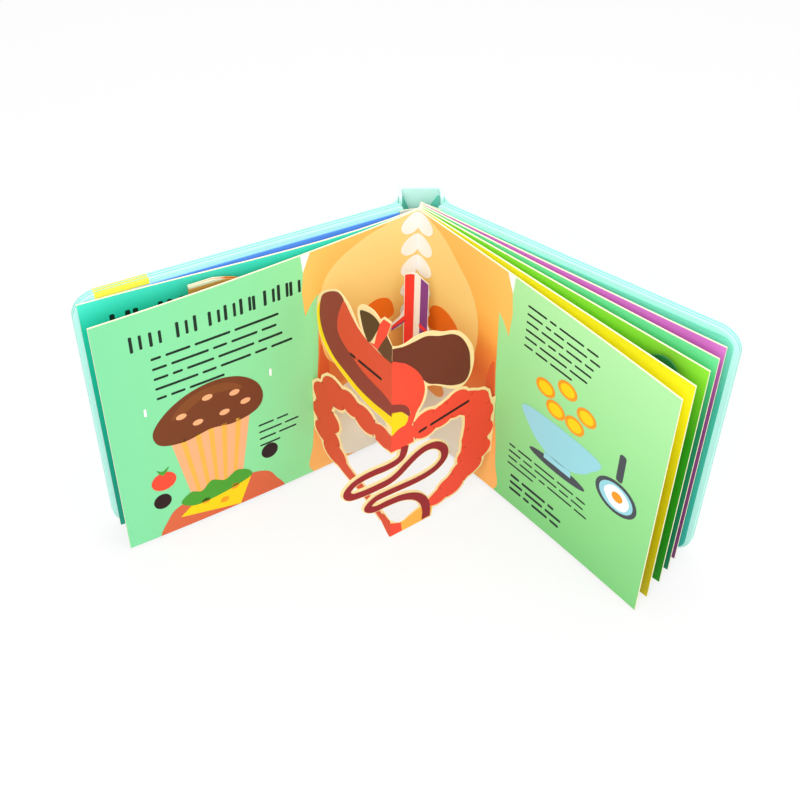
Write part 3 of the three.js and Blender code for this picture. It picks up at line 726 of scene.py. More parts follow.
page_print("open_left_front", open_left, [
    (PAPER["green"], WHOLE, 0),
    *body_inks("left"),
    (PAPER["white"], VERTEBRAE, 7),
    (PAPER["text"], title, 1),
    (PAPER["text"], paragraph, 1),
    (PAPER["text"], caption, 1),
    (PAPER["cloth"], cloth, 2),
    (PAPER["black"], olives, 3),
    (PAPER["skin"], muffin_cup, 3),
    (PAPER["peach"], cup_folds, 4),
    (PAPER["brown"], muffin_top, 4),
    (PAPER["glaze"], glaze, 5),
    (PAPER["skin"], crumbs, 6),
    (PAPER["leafgreen"], lettuce, 6),
    (PAPER["gold"], cheese, 5),
    (PAPER["yolk"], cheese_holes, 6),
    (PAPER["red"], tomato, 5),
    (PAPER["leafgreen"], tomato_leaf, 6),
    (PAPER["white"], sparks, 5),
])
print("left page printed")

# %% [markdown]
# The right page has two paragraphs, a bold remark and a second still life. The bold remark has
# thicker bars than the rest.

# %% Words of the right page
lines = []
for k, lengths in enumerate([
    [17, 6, 22, 10], [14, 5, 9, 18, 9], [11, 20, 14, 8], [18, 7, 12, 15], [11, 25, 16], [8, 11, 20],
]):
    lines += words(105, 172, 197.6 - 7.0 * k, 1.8, lengths, 2.6)
for k, lengths in enumerate([[6, 14, 20, 16, 9], [12, 9, 22, 9, 12], [9, 17, 6, 24, 12], [26]]):
    lines += words(101, 190, 60.6 - 6.5 * k, 1.8, lengths, 2.6)
bold = []
for k, lengths in enumerate([[9, 24, 6], [13, 18, 16], [12, 6, 16, 9]]):
    bold += words(105, 172, 29.4 - 7.0 * k, 2.8, lengths, 2.6)
print("bars on the right page:", len(lines) + len(bold))

# %% [markdown]
# Ellipses and a few smooth curves are enough for a bowl, some round fruits and a fried egg in a
# pan. The page lies at a slant to the reader, so round things are a little wider than high.

# %% The right page
FRUITS = ((128, 140), (147, 152), (166, 141), (139, 127), (157, 126))
fruits = [ellipse(u, v, 9, 7.6) for u, v in FRUITS]
fruit_cores = [ellipse(u, v, 6.4, 5.2) for u, v in FRUITS]
bowl = smooth([(113, 112), (118, 94), (132, 83), (148, 80), (164, 84), (176, 95), (181, 112)])
bowl_foot = box_outline(134, 75, 160, 81)
bowl_mat = ellipse(147, 74, 27, 5)
pan = ellipse(201, 92, 19, 15)
pan_inside = ellipse(201, 92, 15.5, 12)
egg_white = smooth([(190, 92), (196, 101), (206, 101), (213, 94), (209, 84), (198, 83)])
egg_yolk = ellipse(202, 93, 5, 4.4)
handle = pill(198, 108, 204, 134)

page_print("open_right_front", open_right, [
    (PAPER["green_right"], WHOLE, 0),
    *body_inks("right"),
    (PAPER["white"], VERTEBRAE, 7),
    (PAPER["text"], lines, 1),
    (PAPER["text"], bold, 1),
    (PAPER["yolk"], fruits, 2),
    (PAPER["gold"], fruit_cores, 3),
    (PAPER["grey"], bowl_mat, 3),
    (PAPER["glass_blue"], bowl, 4),
    (PAPER["glass_blue"], bowl_foot, 4),
    (PAPER["grey"], pan, 3),
    (PAPER["glass_blue"], pan_inside, 4),
    (PAPER["white"], egg_white, 5),
    (PAPER["yolk"], egg_yolk, 6),
    (PAPER["grey"], handle, 2),
])
print("open spread printed")

# %% [markdown]
# ## The standing organs
# The real card is die-cut, folded once and glued to both leaves, so it springs up as a V when the
# spread opens. Its solid comes from the frame. The print needs only the plane of each wing, and
# that follows from the two glued edges and the lengths of the wings. A print is drawn from the
# crease to the glued edge, on the side that looks away from the gutter.

# %% Wings
def crease(left, right, left_wing, right_wing):
    """The plan point at the two given distances from the glued edges."""
    across = right - left
    distance = across.length
    along = (left_wing ** 2 - right_wing ** 2 + distance ** 2) / (2 * distance)
    out = math.sqrt(left_wing ** 2 - along ** 2)
    unit = across / distance
    return left + unit * along + Vector((unit.y, -unit.x)) * out


class Wing:
    """A flat half of a V, from the crease to its glued edge."""

    start = 0.0

    def __init__(self, fold, glued):
        self.fold = fold
        self.length = (glued - fold).length
        self.along = (glued - fold).normalized()
        out = Vector((self.along.y, -self.along.x))
        self.out = out if out.y < 0 else -out

    def __call__(self, u, v, raised):
        point = self.fold + self.along * u + self.out * (CARD / 2 + raised)
        return in_frame(point.x, point.y, PAGE_BOTTOM + v)


def standing_pair(left_glue, right_glue, left_wing, right_wing):
    """Both wings of a card that is glued at the two given distances from the gutter."""
    left = open_left.plan(left_glue, CARD_CLEARANCE + CARD / 2)
    right = open_right.plan(right_glue, CARD_CLEARANCE + CARD / 2)
    fold = crease(left, right, left_wing, right_wing)
    pair = Wing(fold, left), Wing(fold, right)
    half_angle = pair[0].along.angle(pair[1].along) / 2
    for half in pair:
        half.start = -(CARD / 2 + 2 * SHEET_RAISE) / math.tan(half_angle)
    return pair


organs_left, organs_right = standing_pair(87.5, 84.1, 84.7, 88.5)
print("organ wings:", round(organs_left.length, 1), "and", round(organs_right.length, 1), "mm")

# %% [markdown]
# The large bowel is a chain of pouches. Each pouch is an ellipse a hair above the last, so the
# overlaps never flicker, and short dark strokes mark the notches between them.

# %% Pouches
POUCH_LEVEL_STEP = 0.12
NOTCH_REACH = 0.82
STROKE_LENGTH = 3.4
STROKE_HALF_WIDTH = 0.55


def pouch_inks(material, pouches, level):
    """Overlapping pouches, each a hair above the last."""
    return [(material, ellipse(*pouch), level + POUCH_LEVEL_STEP * k) for k, pouch in enumerate(pouches)]


def centres(pouches):
    return [(u, v) for u, v, _, _ in pouches]


def notches(pouches):
    """Short dark strokes in the notches between pouches."""
    strokes = []
    for (u0, v0, ru, rv), (u1, v1, su, sv) in zip(pouches, pouches[1:]):
        middle = Vector(((u0 + u1) / 2, (v0 + v1) / 2))
        along = Vector((u1 - u0, v1 - v0)).normalized()
        across = Vector((-along.y, along.x))
        reach = (ru + rv + su + sv) / 4 * NOTCH_REACH
        for way in (1, -1):
            tip, root = middle + across * way * reach, middle + across * way * (reach - STROKE_LENGTH)
            wide = along * STROKE_HALF_WIDTH
            strokes.append([tuple(tip + wide), tuple(tip - wide), tuple(root)])
    return strokes


print("strokes between two pouches:", len(notches([(0, 0, 5, 5), (10, 0, 5, 5)])))

# %% [markdown]
# The left wing carries the long side of the stomach with its red, brown and yellow bands, and half
# of the large bowel. Its stomach, bowel and liver are printed in darker copies of the right wing's
# red and brown: painted shade, as this wing gets less light. The organs of the two wings meet at
# the crease, so their outlines pass through the same heights there.

# %% Shapes of the left wing
LEFT_COLON = [
    (8, 102, 10, 10), (27, 104, 12, 12), (43, 107, 11, 11), (60, 104, 13, 14), (72, 92, 11, 12),
    (70, 72, 15, 12), (69, 54, 14, 11), (61, 41, 13, 11),
]
COLON_TAIL = [(61, 40), (50, 34), (40, 30), (30, 27), (20, 21), (8, 14)]
lobe_left = smooth([(31, 202), (27, 205), (19, 207), (12, 204), (15, 195), (22, 181), (27, 186), (30, 195)])
oesophagus = [
    (8, 211), (12, 204), (15, 193), (17, 183), (22, 181), (14, 180), (10, 189), (5, 199), (1.4, 211.5),
]
liver_left = [(5, 199), (0, 193), (0, 178), (8, 178), (14, 180), (10, 189)]
stomach_left = smooth([
    (47, 199), (41, 193), (34, 186), (27, 182), (20, 180), (8, 178), (-6, 178), (-6, 141), (4, 143),
    (10, 145), (21, 147), (31, 150), (40, 155), (49, 161), (54, 168), (54, 179), (51, 190),
])
spleen = smooth([
    (47, 199), (52, 203), (60, 199), (69, 190), (72, 180), (73, 169), (71, 158), (66, 148), (58, 140),
    (47, 135), (34, 130), (22, 128), (10, 128), (-6, 130), (-6, 141), (4, 143), (10, 145), (21, 147),
    (31, 150), (40, 155), (49, 161), (54, 168), (54, 179), (51, 190),
])
gold_left = smooth([
    (72, 182), (75.6, 172), (75.4, 161), (73.2, 151), (68, 143.2), (60, 136.2), (49, 130.2), (37, 125.2),
    (24, 121.2), (11, 120.4), (-4, 119),
    (-4, 132), (10, 129), (22, 129), (34, 131), (47, 136), (58, 141), (66, 149), (71, 159), (73, 169),
])
print("left stomach outline:", len(stomach_left), "points")

# %% [markdown]
# The limits end the print at the crease, and keep it off the card's foot, its head and its glued
# edge.

# %% Print of the left wing
CUT_MARGIN = 0.6
GLUE_MARGIN = 0.5

# The stomach, bowel and liver of this wing take the shaded copies of red and brown: painted shade.
printed("organs_left_print", organs_left, [
    (PAPER["gold"], gold_left, 1),
    (PAPER["spleen"], spleen, 2),
    (PAPER["red_in_shade"], stomach_left, 3),
    (PAPER["olive"], liver_left, 4),
    (PAPER["lobe"], lobe_left, 4),
    (PAPER["red"], oesophagus, 5),
    (PAPER["red_in_shade"], ribbon(centres(LEFT_COLON[1:]), (8.6, 8.6, 8.6, 8.6, 8)), 1.5),
    (PAPER["red_in_shade"], box_outline(-2, 93, 16, 110), 1.5),
    *pouch_inks(PAPER["red_in_shade"], LEFT_COLON, 2),
    (PAPER["gut"], notches(LEFT_COLON), 4),
    (PAPER["red_in_shade"], ribbon(COLON_TAIL, (7.5, 6, 4.6, 3.4)), 3.2),
    (PAPER["red_in_shade"], [(-2, 1), (1, 1), (4, 4), (11, 13), (7.4, 21), (-2, 18)], 3.4),
    (PAPER["black"], words(42, 8, 155, 2.6, [6, 24], 2.4), 6),
], limits=(organs_left.start, CUT_MARGIN, organs_left.length - GLUE_MARGIN, PAGE_HEIGHT - CUT_MARGIN))
print("left wing printed")

# %% [markdown]
# The right wing carries the liver, the other side of the stomach, the rest of the large bowel and
# the small bowel. The name printed along the bowel slants, so its bars are sheared.

# %% Bowels of the right wing
def slanted_words(u_from, u_to, v, slope, height, lengths, gap):
    bars = words(u_from, u_to, 0, height, lengths, gap)
    return [[(u, v + w + (u - u_from) * slope) for u, w in bar] for bar in bars]


RIGHT_COLON = [
    (9, 103, 10, 11), (28, 105, 12, 13), (41, 106, 11, 11), (54, 110, 11, 13), (71, 101, 11, 12),
    (75, 86, 12, 12), (74, 68, 14, 12), (72, 49, 15, 12), (66, 36, 14, 11), (52, 24, 12, 11),
    (41, 18, 9, 7),
]
SMALL_INTESTINE = [
    (11, 93), (9, 84), (4, 80.5), (-5, 80), (-14, 81), (-23, 81), (-31, 79), (-36, 73.5), (-33, 67.5),
    (-24, 65), (-13, 64), (-2, 64), (6, 67), (14, 73), (22, 78), (30, 80), (38, 77.5), (44.5, 69.5),
    (45, 60), (39, 53.5), (30, 50.8), (19, 50.5), (7, 51.5), (-6, 52.5), (-14, 52), (-19.5, 47),
    (-14, 41.8), (-3, 41), (10, 39), (21, 33), (28, 24), (31, 13), (31, 2),
]
INTESTINE_WIDTHS = (3.1, 3.1, 3.1, 3.3, 3.3, 3.1, 3.0, 3.0, 3.3, 3.6)
COLON_WIDTHS = (9, 10, 11, 12, 11.5, 10, 7)
colon_core = ribbon([(u - 1.5, v) for u, v in centres(RIGHT_COLON[1:])], COLON_WIDTHS)
print("pouches:", len(RIGHT_COLON))

# %% [markdown]
# The other organs are smooth outlines that start at the crease. Those that cross it begin a few
# millimetres before it and are cut off there by the limits.

# %% Print of the right wing
liver_right = smooth([
    (-4, 191), (8, 189), (17, 189), (26, 189), (36, 184), (47, 180), (55, 172), (61, 159), (63, 147),
    (63, 136), (59, 129), (49, 131), (37, 139), (28, 145), (18, 160), (6, 172), (-4, 178),
])
stomach_right = smooth([
    (-4, 178), (7, 175), (15, 167), (21, 158), (25, 148), (26, 138), (24, 129), (20, 122), (17, 113),
    (12, 104), (6, 112), (14, 122), (14, 127), (9, 135), (-4, 141),
])
band_right = smooth([(-4, 141), (9, 135), (14, 127), (14, 121), (10, 126), (5.5, 130), (-4, 131)])
gold_right = smooth([(-4, 131), (5.5, 130), (10, 126), (13, 119), (8, 112), (-4, 110)])
foot = [(-2, 1), (35, 1), (37, 14), (26, 17), (19, 15), (12, 11.6), (7, 11.6), (-2, 18)]

printed("organs_right_print", organs_right, [
    (PAPER["liver"], liver_right, 1),
    (PAPER["red"], stomach_right, 2),
    (PAPER["spleen"], band_right, 3),
    (PAPER["gold"], gold_right, 3),
    (PAPER["red"], colon_core, 3.2),
    (PAPER["red"], box_outline(-2, 93, 18, 110), 3.2),
    *pouch_inks(PAPER["red"], RIGHT_COLON, 3.6),
    (PAPER["red_deep"], notches(RIGHT_COLON), 6),
    (PAPER["peach"], foot, 1),
    (PAPER["red"], [(-2, 1), (10, 1), (9, 11), (-2, 17)], 2),
    *[(PAPER["black"], bar, 6.5) for bar in slanted_words(22, 66, 99, 0.17, 2.6, [7, 33], 2.4)],
], limits=(organs_right.start, CUT_MARGIN, organs_right.length - GLUE_MARGIN, PAGE_HEIGHT - CUT_MARGIN))
printed("intestine_print", organs_right, [
    (PAPER["gut"], ribbon(SMALL_INTESTINE, INTESTINE_WIDTHS), 7),
], limits=(-60, CUT_MARGIN, organs_right.length, PAGE_HEIGHT))
print("organs printed")

# %% [markdown]
# ## The vessels behind the organs
# A smaller card stands behind the organs and carries the two great vessels, red on one wing and
# purple on the other, with a short branch of each. It folds as the large card does, so the same
# functions place its print.

# %% Print of the vessels
vessels_left, vessels_right = standing_pair(22.0, 24.0, 21.0, 18.2)
printed("vessels_print_left", vessels_left, [
    (PAPER["artery"], [(1.5, 56), (9.4, 54), (9.4, 173), (5, 176), (1.5, 177.4)], 1),
    (PAPER["artery"], [(8.6, 136), (20.4, 118), (20.4, 115.6), (8.6, 131)], 2),
    (PAPER["vein"], [(8.6, 133), (20.4, 115.6), (20.4, 113.6), (8.6, 129.6)], 1),
], limits=(vessels_left.start, CUT_MARGIN, 20.6, PAGE_HEIGHT))
printed("vessels_print_right", vessels_right, [
    (PAPER["vein"], [(3, 55.4), (9, 54), (9, 165.6), (5, 171), (3, 173.6)], 1),
    (PAPER["artery"], [(2.6, 132), (17.6, 109.4), (17.6, 106.4), (2.6, 128)], 2),
    (PAPER["vein"], [(8, 124), (17.6, 107), (17.6, 104.8), (8, 121)], 1),
], limits=(vessels_right.start, CUT_MARGIN, 17.8, PAGE_HEIGHT))
print("vessels printed")

# %% [markdown]
# ## Padded covers
# A real cover is a board with a foam pad under a plastic skin: its outer face is crowned, its rim
# rolls down to a flat edge, and two welds run around that edge. Cloth simulation could puff it up,
# but this pad is thin and tight, and stacked outlines give its rim and its welds exactly.

# %% Outline of a cover
SIDE_STEPS = 12


def rounded_rectangle(width, height, inset, far_radius, near_radius, steps=10):
    """An outline with round corners, larger ones on the side away from the hinge."""
    far = max(far_radius - inset, 1.0)
    near = max(near_radius - inset, 0.8)
    corners = (
        (inset + near, inset + near, near, 180), (width - inset - far, inset + far, far, 270),
        (width - inset - far, height - inset - far, far, 0), (inset + near, height - inset - near, near, 90),
    )
    arcs = []
    for x, z, radius, start in corners:
        turns = [math.radians(start + 90 * step / steps) for step in range(steps + 1)]
        arcs.append([(x + radius * math.cos(turn), z + radius * math.sin(turn)) for turn in turns])
    points = []
    for k, arc in enumerate(arcs):
        (x0, z0), (x1, z1) = arc[-1], arcs[(k + 1) % 4][0]
        points += arc
        for j in range(1, SIDE_STEPS):
            points.append((x0 + (x1 - x0) * j / SIDE_STEPS, z0 + (z1 - z0) * j / SIDE_STEPS))
    return points


cover_edge = rounded_rectangle(COVER_WIDTH, COVER_HEIGHT, 0, COVER_CORNER, HINGE_CORNER)
print("cover outline:", len(cover_edge), "points")

# %% [markdown]
# A cover turns about its hinge line at the spine, so its points are given from that line.

# %% Place of a cover
def hinge_point(side):
    return Vector((SPINE_CENTRE_X + SIDE_SIGN[side] * SPINE_WIDTH / 2, SPINE_FRONT_Y))


def on_cover(side, along, inwards):
    """A plan point given along the cover from its hinge line and inwards from its outer face."""
    turn = math.radians(COVER_ANGLE[side])
    sign = SIDE_SIGN[side]
    return hinge_point(side) + Vector((
        sign * (along * math.cos(turn) - inwards * math.sin(turn)),
        -along * math.sin(turn) - inwards * math.cos(turn),
    ))


print("hinge lines at", [tuple(round(c, 2) for c in hinge_point(side)) for side in SIDE_SIGN])

# %% [markdown]
# The profile says how far each outline is drawn in and how deep it lies below the outer face: a
# gentle crown, a rolled rim, two welded grooves and the inner edge.

# %% Profile of the padding
CROWN = ((104, 0), (80, 0.02), (55, 0.08), (35, 0.2), (16, 0.36))
CROWN_DEPTH = 0.5
RIM_STEPS = 10
RIM_SHARPNESS = 1.25
WELDS = (3.5, 5.7)
WELD_GROOVE = ((0.55, 0.15), (0.55, 0.5), (0.0, 0.65))
INNER_EDGE = ((0.0, 0.5), (0.15, 0.15), (0.5, 0.0))


def cover_profile():
    """Inset, depth and whether a weld ends there, from the middle of the outer face inwards."""
    levels = [(inset, depth, False) for inset, depth in CROWN]
    for k in range(RIM_STEPS + 1):
        turn = math.radians(90 * k / RIM_STEPS)
        inset = PADDING_ROUNDING * (1 - math.sin(turn)) ** RIM_SHARPNESS
        levels.append((inset, CROWN_DEPTH + (PADDING_DEPTH - CROWN_DEPTH) * (1 - math.cos(turn)), False))
    for weld in WELDS:
        levels.append((0.0, weld, False))
        levels += [(inset, weld + further, True) for inset, further in WELD_GROOVE]
    levels += [(inset, COVER_THICKNESS - rise, False) for inset, rise in INNER_EDGE]
    return levels


print("outlines in a cover:", len(cover_profile()))

# %% [markdown]
# A yellow field of the front cover's print wraps over its top edge. It crosses the rounded rim, so
# it is a mask in the skin's own material: three tests on the place of a point, multiplied.

# %% Skin of the front cover
YELLOW_ALONG = (178.0, 213.0)
YELLOW_FROM_Z = 196.0


def front_cover_skin():
    """The cover skin with a yellow field of print near the fore-edge's top corner."""
    made = SKIN.copy()
    made.name = "front_cover_skin"
    nodes, links = made.node_tree.nodes, made.node_tree.links
    blend = next(n for n in nodes if n.bl_idname == "ShaderNodeMix")
    place = next(n for n in nodes if n.bl_idname == "ShaderNodeTexCoord")
    hinge, away = on_cover("left", 0.0, 0.0), on_cover("left", 1.0, 0.0)
    along = (away - hinge).normalized()
    origin = in_frame(hinge.x, hinge.y, 0.0)
    reach = nodes.new("ShaderNodeVectorMath")
    reach.operation = "DOT_PRODUCT"
    reach.inputs[1].default_value = (along.x, along.y, 0.0)
    links.new(place.outputs["Object"], reach.inputs[0])
    split = nodes.new("ShaderNodeSeparateXYZ")
    links.new(place.outputs["Object"], split.inputs["Vector"])
    offset = origin.x * along.x + origin.y * along.y
    tests = (
        (reach.outputs["Value"], "GREATER_THAN", offset + YELLOW_ALONG[0] * MM),
        (reach.outputs["Value"], "LESS_THAN", offset + YELLOW_ALONG[1] * MM),
        (split.outputs["Z"], "GREATER_THAN", YELLOW_FROM_Z * MM),
    )
    result = None
    for output, operation, limit in tests:
        test = nodes.new("ShaderNodeMath")
        test.operation = operation
        test.inputs[1].default_value = limit
        links.new(output, test.inputs[0])
        if result is None:
            result = test
            continue
        both = nodes.new("ShaderNodeMath")
        both.operation = "MULTIPLY"
        links.new(result.outputs["Value"], both.inputs[0])
        links.new(test.outputs["Value"], both.inputs[1])
        result = both
    field = nodes.new("ShaderNodeMix")
    field.data_type = "RGBA"
    field.inputs["B"].default_value = linear("FFF04A")
    links.new(result.outputs["Value"], field.inputs["Factor"])
    links.new(blend.outputs["Result"], field.inputs["A"])
    links.new(field.outputs["Result"], nodes["Principled BSDF"].inputs["Base Color"])
    return made


print("yellow field:", YELLOW_ALONG[1] - YELLOW_ALONG[0], "mm long")

# %% [markdown]
# The outlines are joined ring by ring into one closed mesh. It stands in for the imported cover,
# and rides the cover's body.

# %% Both covers
def make_cover(side, name):
    """One padded cover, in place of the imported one."""
    width = COVER_WIDTH - SWING_CLEARANCE
    rings = []
    profile = cover_profile()
    for inset, depth, _ in profile:
        ring = rounded_rectangle(width, COVER_HEIGHT, inset, COVER_CORNER, HINGE_CORNER)
        rings.append([(*on_cover(side, x + SWING_CLEARANCE, depth), z) for x, z in ring])
    count = len(rings[0])
    vertices = [in_frame(*point) for ring in rings for point in ring]
    faces, skins = [list(range(count))[::-1]], [0]
    for r in range(len(rings) - 1):
        for k in range(count):
            after = (k + 1) % count
            a, b = r * count + k, r * count + after
            faces.append([a, b, b + count, a + count])
            # Faces of the weld grooves take the deeper-toned plastic: painted shade in the grooves.
            skins.append(1 if profile[r + 1][2] else 0)
    faces.append([(len(rings) - 1) * count + k for k in range(count)])
    skins.append(0)
    if side == "right":
        faces = [face[::-1] for face in faces]
    skin = front_cover_skin() if side == "left" else SKIN
    made = new_object(name, vertices, faces, [skin, SEAM_SHADE], skins, True)
    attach(made, "front_board" if side == "left" else "back_board")
    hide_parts("front_cover" if side == "left" else "back_cover")


make_cover("left", "front_cover_pad")
make_cover("right", "back_cover_pad")
print("covers padded")

# %% [markdown]
# ## Hinge skins
# On the real book the plastic skin runs on from the spine to each cover, and that is the hinge.
# A rigid strip would tear there when the cover turns; this one is a fixed mesh, on neither body.
# It starts on the spine's side, rounds the hinge line and ends under the cover's skin.

# %% Hinge skins
SKIN_THICKNESS = 0.5
SKIN_ON_SPINE = (0.1, 4.0)
SKIN_AT_HINGE = (1.2, 0.6)
SKIN_ON_COVER = (4.5, 1.2)
SKIN_END_INSET = 1.0


def make_hinge_skin(side):
    """The strip of skin that joins the spine to one cover."""
    sign = SIDE_SIGN[side]
    hinge = hinge_point(side)
    start = hinge + Vector((sign * SKIN_ON_SPINE[0], SKIN_ON_SPINE[1]))
    middle = hinge + Vector((sign * SKIN_AT_HINGE[0], SKIN_AT_HINGE[1]))
    end = on_cover(side, *SKIN_ON_COVER)
    path = open_curve([tuple(start), tuple(middle), tuple(end)], 8)
    vertices, faces = [], []
    levels = (SKIN_END_INSET, *(COVER_HEIGHT * k / 4 for k in (1, 2, 3)), COVER_HEIGHT - SKIN_END_INSET)
    for z in levels:
        for offset in (0.0, SKIN_THICKNESS):
            for k, point in enumerate(path):
                along = (path[min(k + 1, len(path) - 1)] - path[max(k - 1, 0)]).normalized()
                across = Vector((along.y, -along.x)) * -sign
                spot = point + across * offset
                vertices.append(in_frame(spot.x, spot.y, z))
    count = len(path)
    ring = list(range(count)) + [count + k for k in reversed(range(count))]
    for level in range(len(levels) - 1):
        low, high = level * 2 * count, (level + 1) * 2 * count
        for k in range(len(ring)):
            a, b = ring[k], ring[(k + 1) % len(ring)]
            faces.append([low + a, low + b, high + b, high + a])
    faces += [ring[::-1], [(len(levels) - 1) * 2 * count + k for k in ring]]
    made = new_object(f"hinge_skin_{side}", vertices, faces, [SKIN], None, True)
    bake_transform(made)


make_hinge_skin("left")
make_hinge_skin("right")
print("hinge skins made")

# %% [markdown]
# At the head of the spine the skin is gathered into a corner on each side, as two folds in a darker
# plastic: painted shade in the gathered corners. They lie against the channel's inside and stay with the
# spine.

# %% Pleats in the spine's head
PLEAT_END = 0.6
PLEAT_GAP = 0.15
PLEAT_FRONT = 1.5
PLEAT_SLANT = 1.4
PLEAT_FOLD = 0.35


def make_pleat(side, size):
    """A gathered corner of skin inside the spine's head."""
    sign = SIDE_SIGN[side]
    wall = SPINE_CENTRE_X + sign * (SPINE_WIDTH / 2 - SPINE_WALL - PLEAT_GAP)
    front, back = SPINE_FRONT_Y + PLEAT_FRONT, SPINE_FRONT_Y + SPINE_DEPTH - SPINE_WALL - PLEAT_GAP
    rows = (
        (COVER_HEIGHT - 5.0, PLEAT_END), (COVER_HEIGHT - 16.0, size), (COVER_HEIGHT - 34.0, size * 0.8),
        (COVER_HEIGHT - 60.0, PLEAT_END),
    )
    vertices, faces = [], []
    for z, reach in rows:
        vertices += [
            in_frame(wall, max(front, back - reach * PLEAT_SLANT), z),
            in_frame(wall - sign * reach * PLEAT_FOLD, back - reach * PLEAT_FOLD, z),
            in_frame(wall - sign * reach, back, z),
        ]
    for row in range(len(rows) - 1):
        for k in range(2):
            a = row * 3 + k
            faces.append([a, a + 1, a + 4, a + 3])
    made = new_object(f"spine_pleat_{side}", vertices, faces, [PLEAT_SHADE], None, True)
    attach(made, "book_block")


make_pleat("left", 5.0)
make_pleat("right", 7.0)
print("pleats made")

# %% [markdown]
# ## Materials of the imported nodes
# The leaves, cards, pastedowns and spine are shown as the solids that were packed. They need only
# their paper or skin: cream for cut board, and the inks of the folded cards that show a little.

# %% Dress the nodes
def dress(node, material):
    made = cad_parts[node]
    made.data.materials.clear()
    made.data.materials.append(material)


for node, material in {
    "spine": SPINE_SKIN_LIGHTENED,
    "pages": PAPER["edge"],
    "organs_popup": PAPER["cream"],
    "vessels_popup": PAPER["white"],
    "front_pastedown": PAPER["blue"],
    "back_pastedown": PAPER["aqua"],
    "folded_popup_2": PAPER["tall_fold"],
    "folded_popup_4": PAPER["cream"],
    "folded_popup_5": PAPER["forest"],
    "folded_popup_6": PAPER["cream"],
    "folded_popup_7": PAPER["cream"],
}.items():
    dress(node, material)
print("nodes dressed")

# %% [markdown]
# ## Camera
# The camera stands where the photograph was taken from, so that the render can be compared with
# it. Its place, turn and lens were fitted to the corners of leaves and covers, and are measured
# from the gutter. The lens is shifted a little, because the photograph is a part of a wider view.

# %% Camera
CAMERA_AT = (-62.92, -739.49, 805.60)
CAMERA_FORWARD = (0.17107, 0.98526)
CAMERA_DOWN = 44.78
CAMERA_ROLL = 5.20
FOCAL_PX = 1386.9
PRINCIPAL = (500.0, 370.0)
PHOTO_PX = 800.0
SENSOR = 36.0

down = math.radians(CAMERA_DOWN)
roll = math.radians(CAMERA_ROLL)
ahead = Vector((*CAMERA_FORWARD, 0.0)).normalized()
forward = ahead * math.cos(down) - Vector((0, 0, 1)) * math.sin(down)
right = forward.cross(Vector((0, 0, 1))).normalized()
up = right.cross(forward)
right_rolled = right * math.cos(roll) + up * math.sin(roll)
up_rolled = up * math.cos(roll) - right * math.sin(roll)
turn = Matrix((right_rolled, up_rolled, -forward)).transposed().to_4x4()

lens = bpy.data.cameras.new("camera")
lens.sensor_width = SENSOR
lens.lens = FOCAL_PX / PHOTO_PX * SENSOR
lens.shift_x = (PHOTO_PX / 2 - PRINCIPAL[0]) / PHOTO_PX
lens.shift_y = (PRINCIPAL[1] - PHOTO_PX / 2) / PHOTO_PX
lens.clip_start = 0.01
lens.dof.use_dof = False
camera = bpy.data.objects.new("camera", lens)
camera.matrix_world = Matrix.Translation(in_frame(*CAMERA_AT)) @ turn
bpy.context.scene.collection.objects.link(camera)
bpy.context.scene.camera = camera
print("camera", tuple(round(v, 3) for v in camera.location), "shift", lens.shift_x, lens.shift_y)

# %% [markdown]
# ## Floor and light
# The book stands on a white ground with a faint soft shadow. More light would whiten the floor but
# also bleach the pages, so the floor glows only where it is seen directly or in a reflection, and
# keeps a part of the shadow.

# %% Floor
FLOOR_HALF = 40.0
FLOOR_Z = -0.0002
FLOOR_GREY = 0.86
FLOOR_GLOW_SHARE = 0.76


def sees_background(tree):
    """1 for rays straight from the camera, off gloss or through glass, and 0 for the rest."""
    path = tree.nodes.new("ShaderNodeLightPath")
    seen = path.outputs["Is Camera Ray"]
    for kind in ("Is Glossy Ray", "Is Transmission Ray"):
        either = tree.nodes.new("ShaderNodeMath")
        either.operation = "MAXIMUM"
        tree.links.new(seen, either.inputs[0])
        tree.links.new(path.outputs[kind], either.inputs[1])
        seen = either.outputs["Value"]
    return seen


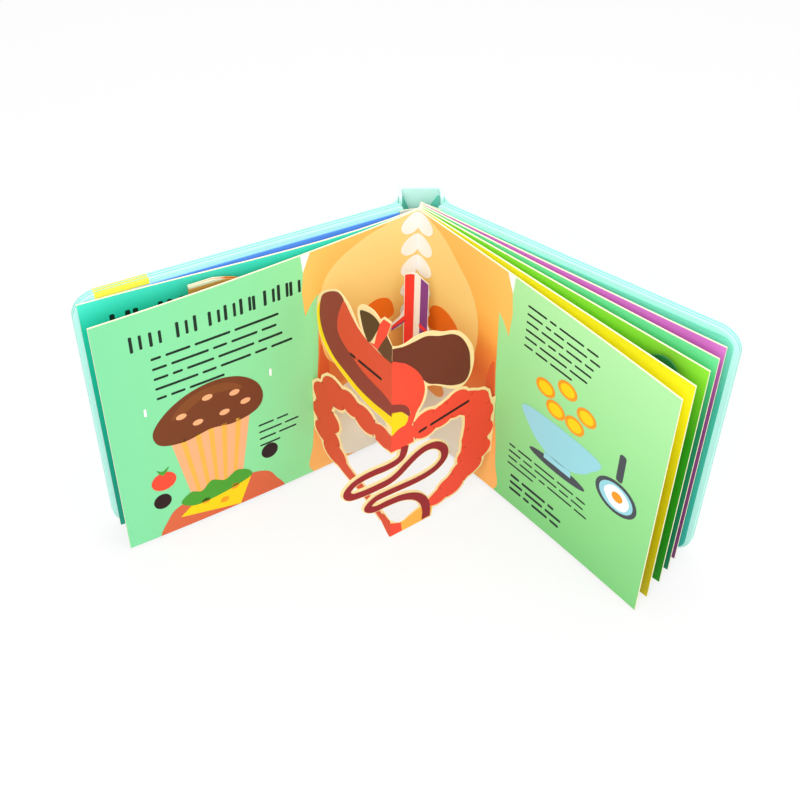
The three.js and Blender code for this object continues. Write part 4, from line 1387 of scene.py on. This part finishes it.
floor_corners = [(x * FLOOR_HALF, y * FLOOR_HALF, FLOOR_Z) for x, y in ((-1, -1), (1, -1), (1, 1), (-1, 1))]
floor_mesh = bpy.data.meshes.new("floor")
floor_mesh.from_pydata(floor_corners, [], [(0, 1, 2, 3)])
floor = bpy.data.objects.new("floor", floor_mesh)
bpy.context.scene.collection.objects.link(floor)
white = bpy.data.materials.new("floor")
white.use_nodes = True
tree = white.node_tree
tree.nodes.clear()
output = tree.nodes.new("ShaderNodeOutputMaterial")
diffuse = tree.nodes.new("ShaderNodeBsdfDiffuse")
diffuse.inputs["Color"].default_value = (FLOOR_GREY, FLOOR_GREY, FLOOR_GREY, 1)
glow = tree.nodes.new("ShaderNodeEmission")
glow.inputs["Color"].default_value = (1, 1, 1, 1)
glow.inputs["Strength"].default_value = 1.0
share = tree.nodes.new("ShaderNodeMath")
share.operation = "MULTIPLY"
share.inputs[1].default_value = FLOOR_GLOW_SHARE
mix = tree.nodes.new("ShaderNodeMixShader")
tree.links.new(sees_background(tree), share.inputs[0])
tree.links.new(share.outputs["Value"], mix.inputs["Fac"])
tree.links.new(diffuse.outputs["BSDF"], mix.inputs[1])
tree.links.new(glow.outputs["Emission"], mix.inputs[2])
tree.links.new(mix.outputs["Shader"], output.inputs["Surface"])
floor_mesh.materials.append(white)
print("floor:", 2 * FLOOR_HALF, "m wide")

# %% [markdown]
# The light is even and comes from all around, as in a white photo tent: a plain world and three
# large, weak lamps. A colour then renders about as it is written. The world is white where it is
# seen directly, and weaker as a lamp.

# %% Light
WORLD_LIGHT = 0.58

world = bpy.data.worlds.new("world")
world.use_nodes = True
bpy.context.scene.world = world
backdrop = world.node_tree.nodes["Background"]
backdrop.inputs["Color"].default_value = (1.0, 1.0, 1.0, 1)
world_share = world.node_tree.nodes.new("ShaderNodeMath")
world_share.operation = "MULTIPLY_ADD"
world_share.inputs[1].default_value = 1.0 - WORLD_LIGHT
world_share.inputs[2].default_value = WORLD_LIGHT
world.node_tree.links.new(sees_background(world.node_tree), world_share.inputs[0])
world.node_tree.links.new(world_share.outputs["Value"], backdrop.inputs["Strength"])


def area_light(name, place, target, size, power):
    light = bpy.data.lights.new(name, "AREA")
    light.size = size
    light.energy = power
    made = bpy.data.objects.new(name, light)
    made.location = place
    made.rotation_euler = (Vector(target) - Vector(place)).to_track_quat("-Z", "Y").to_euler()
    bpy.context.scene.collection.objects.link(made)


area_light("key", (-0.5, -1.3, 1.5), (0.0, 0.0, 0.1), 1.2, 20.0)
area_light("fill", (1.3, -0.9, 1.1), (0.0, 0.0, 0.1), 1.4, 8.0)
area_light("top", (0.1, 0.3, 1.8), (0.0, 0.0, 0.1), 1.6, 13.0)
bpy.context.scene.view_settings.view_transform = "Standard"
print("lights set")
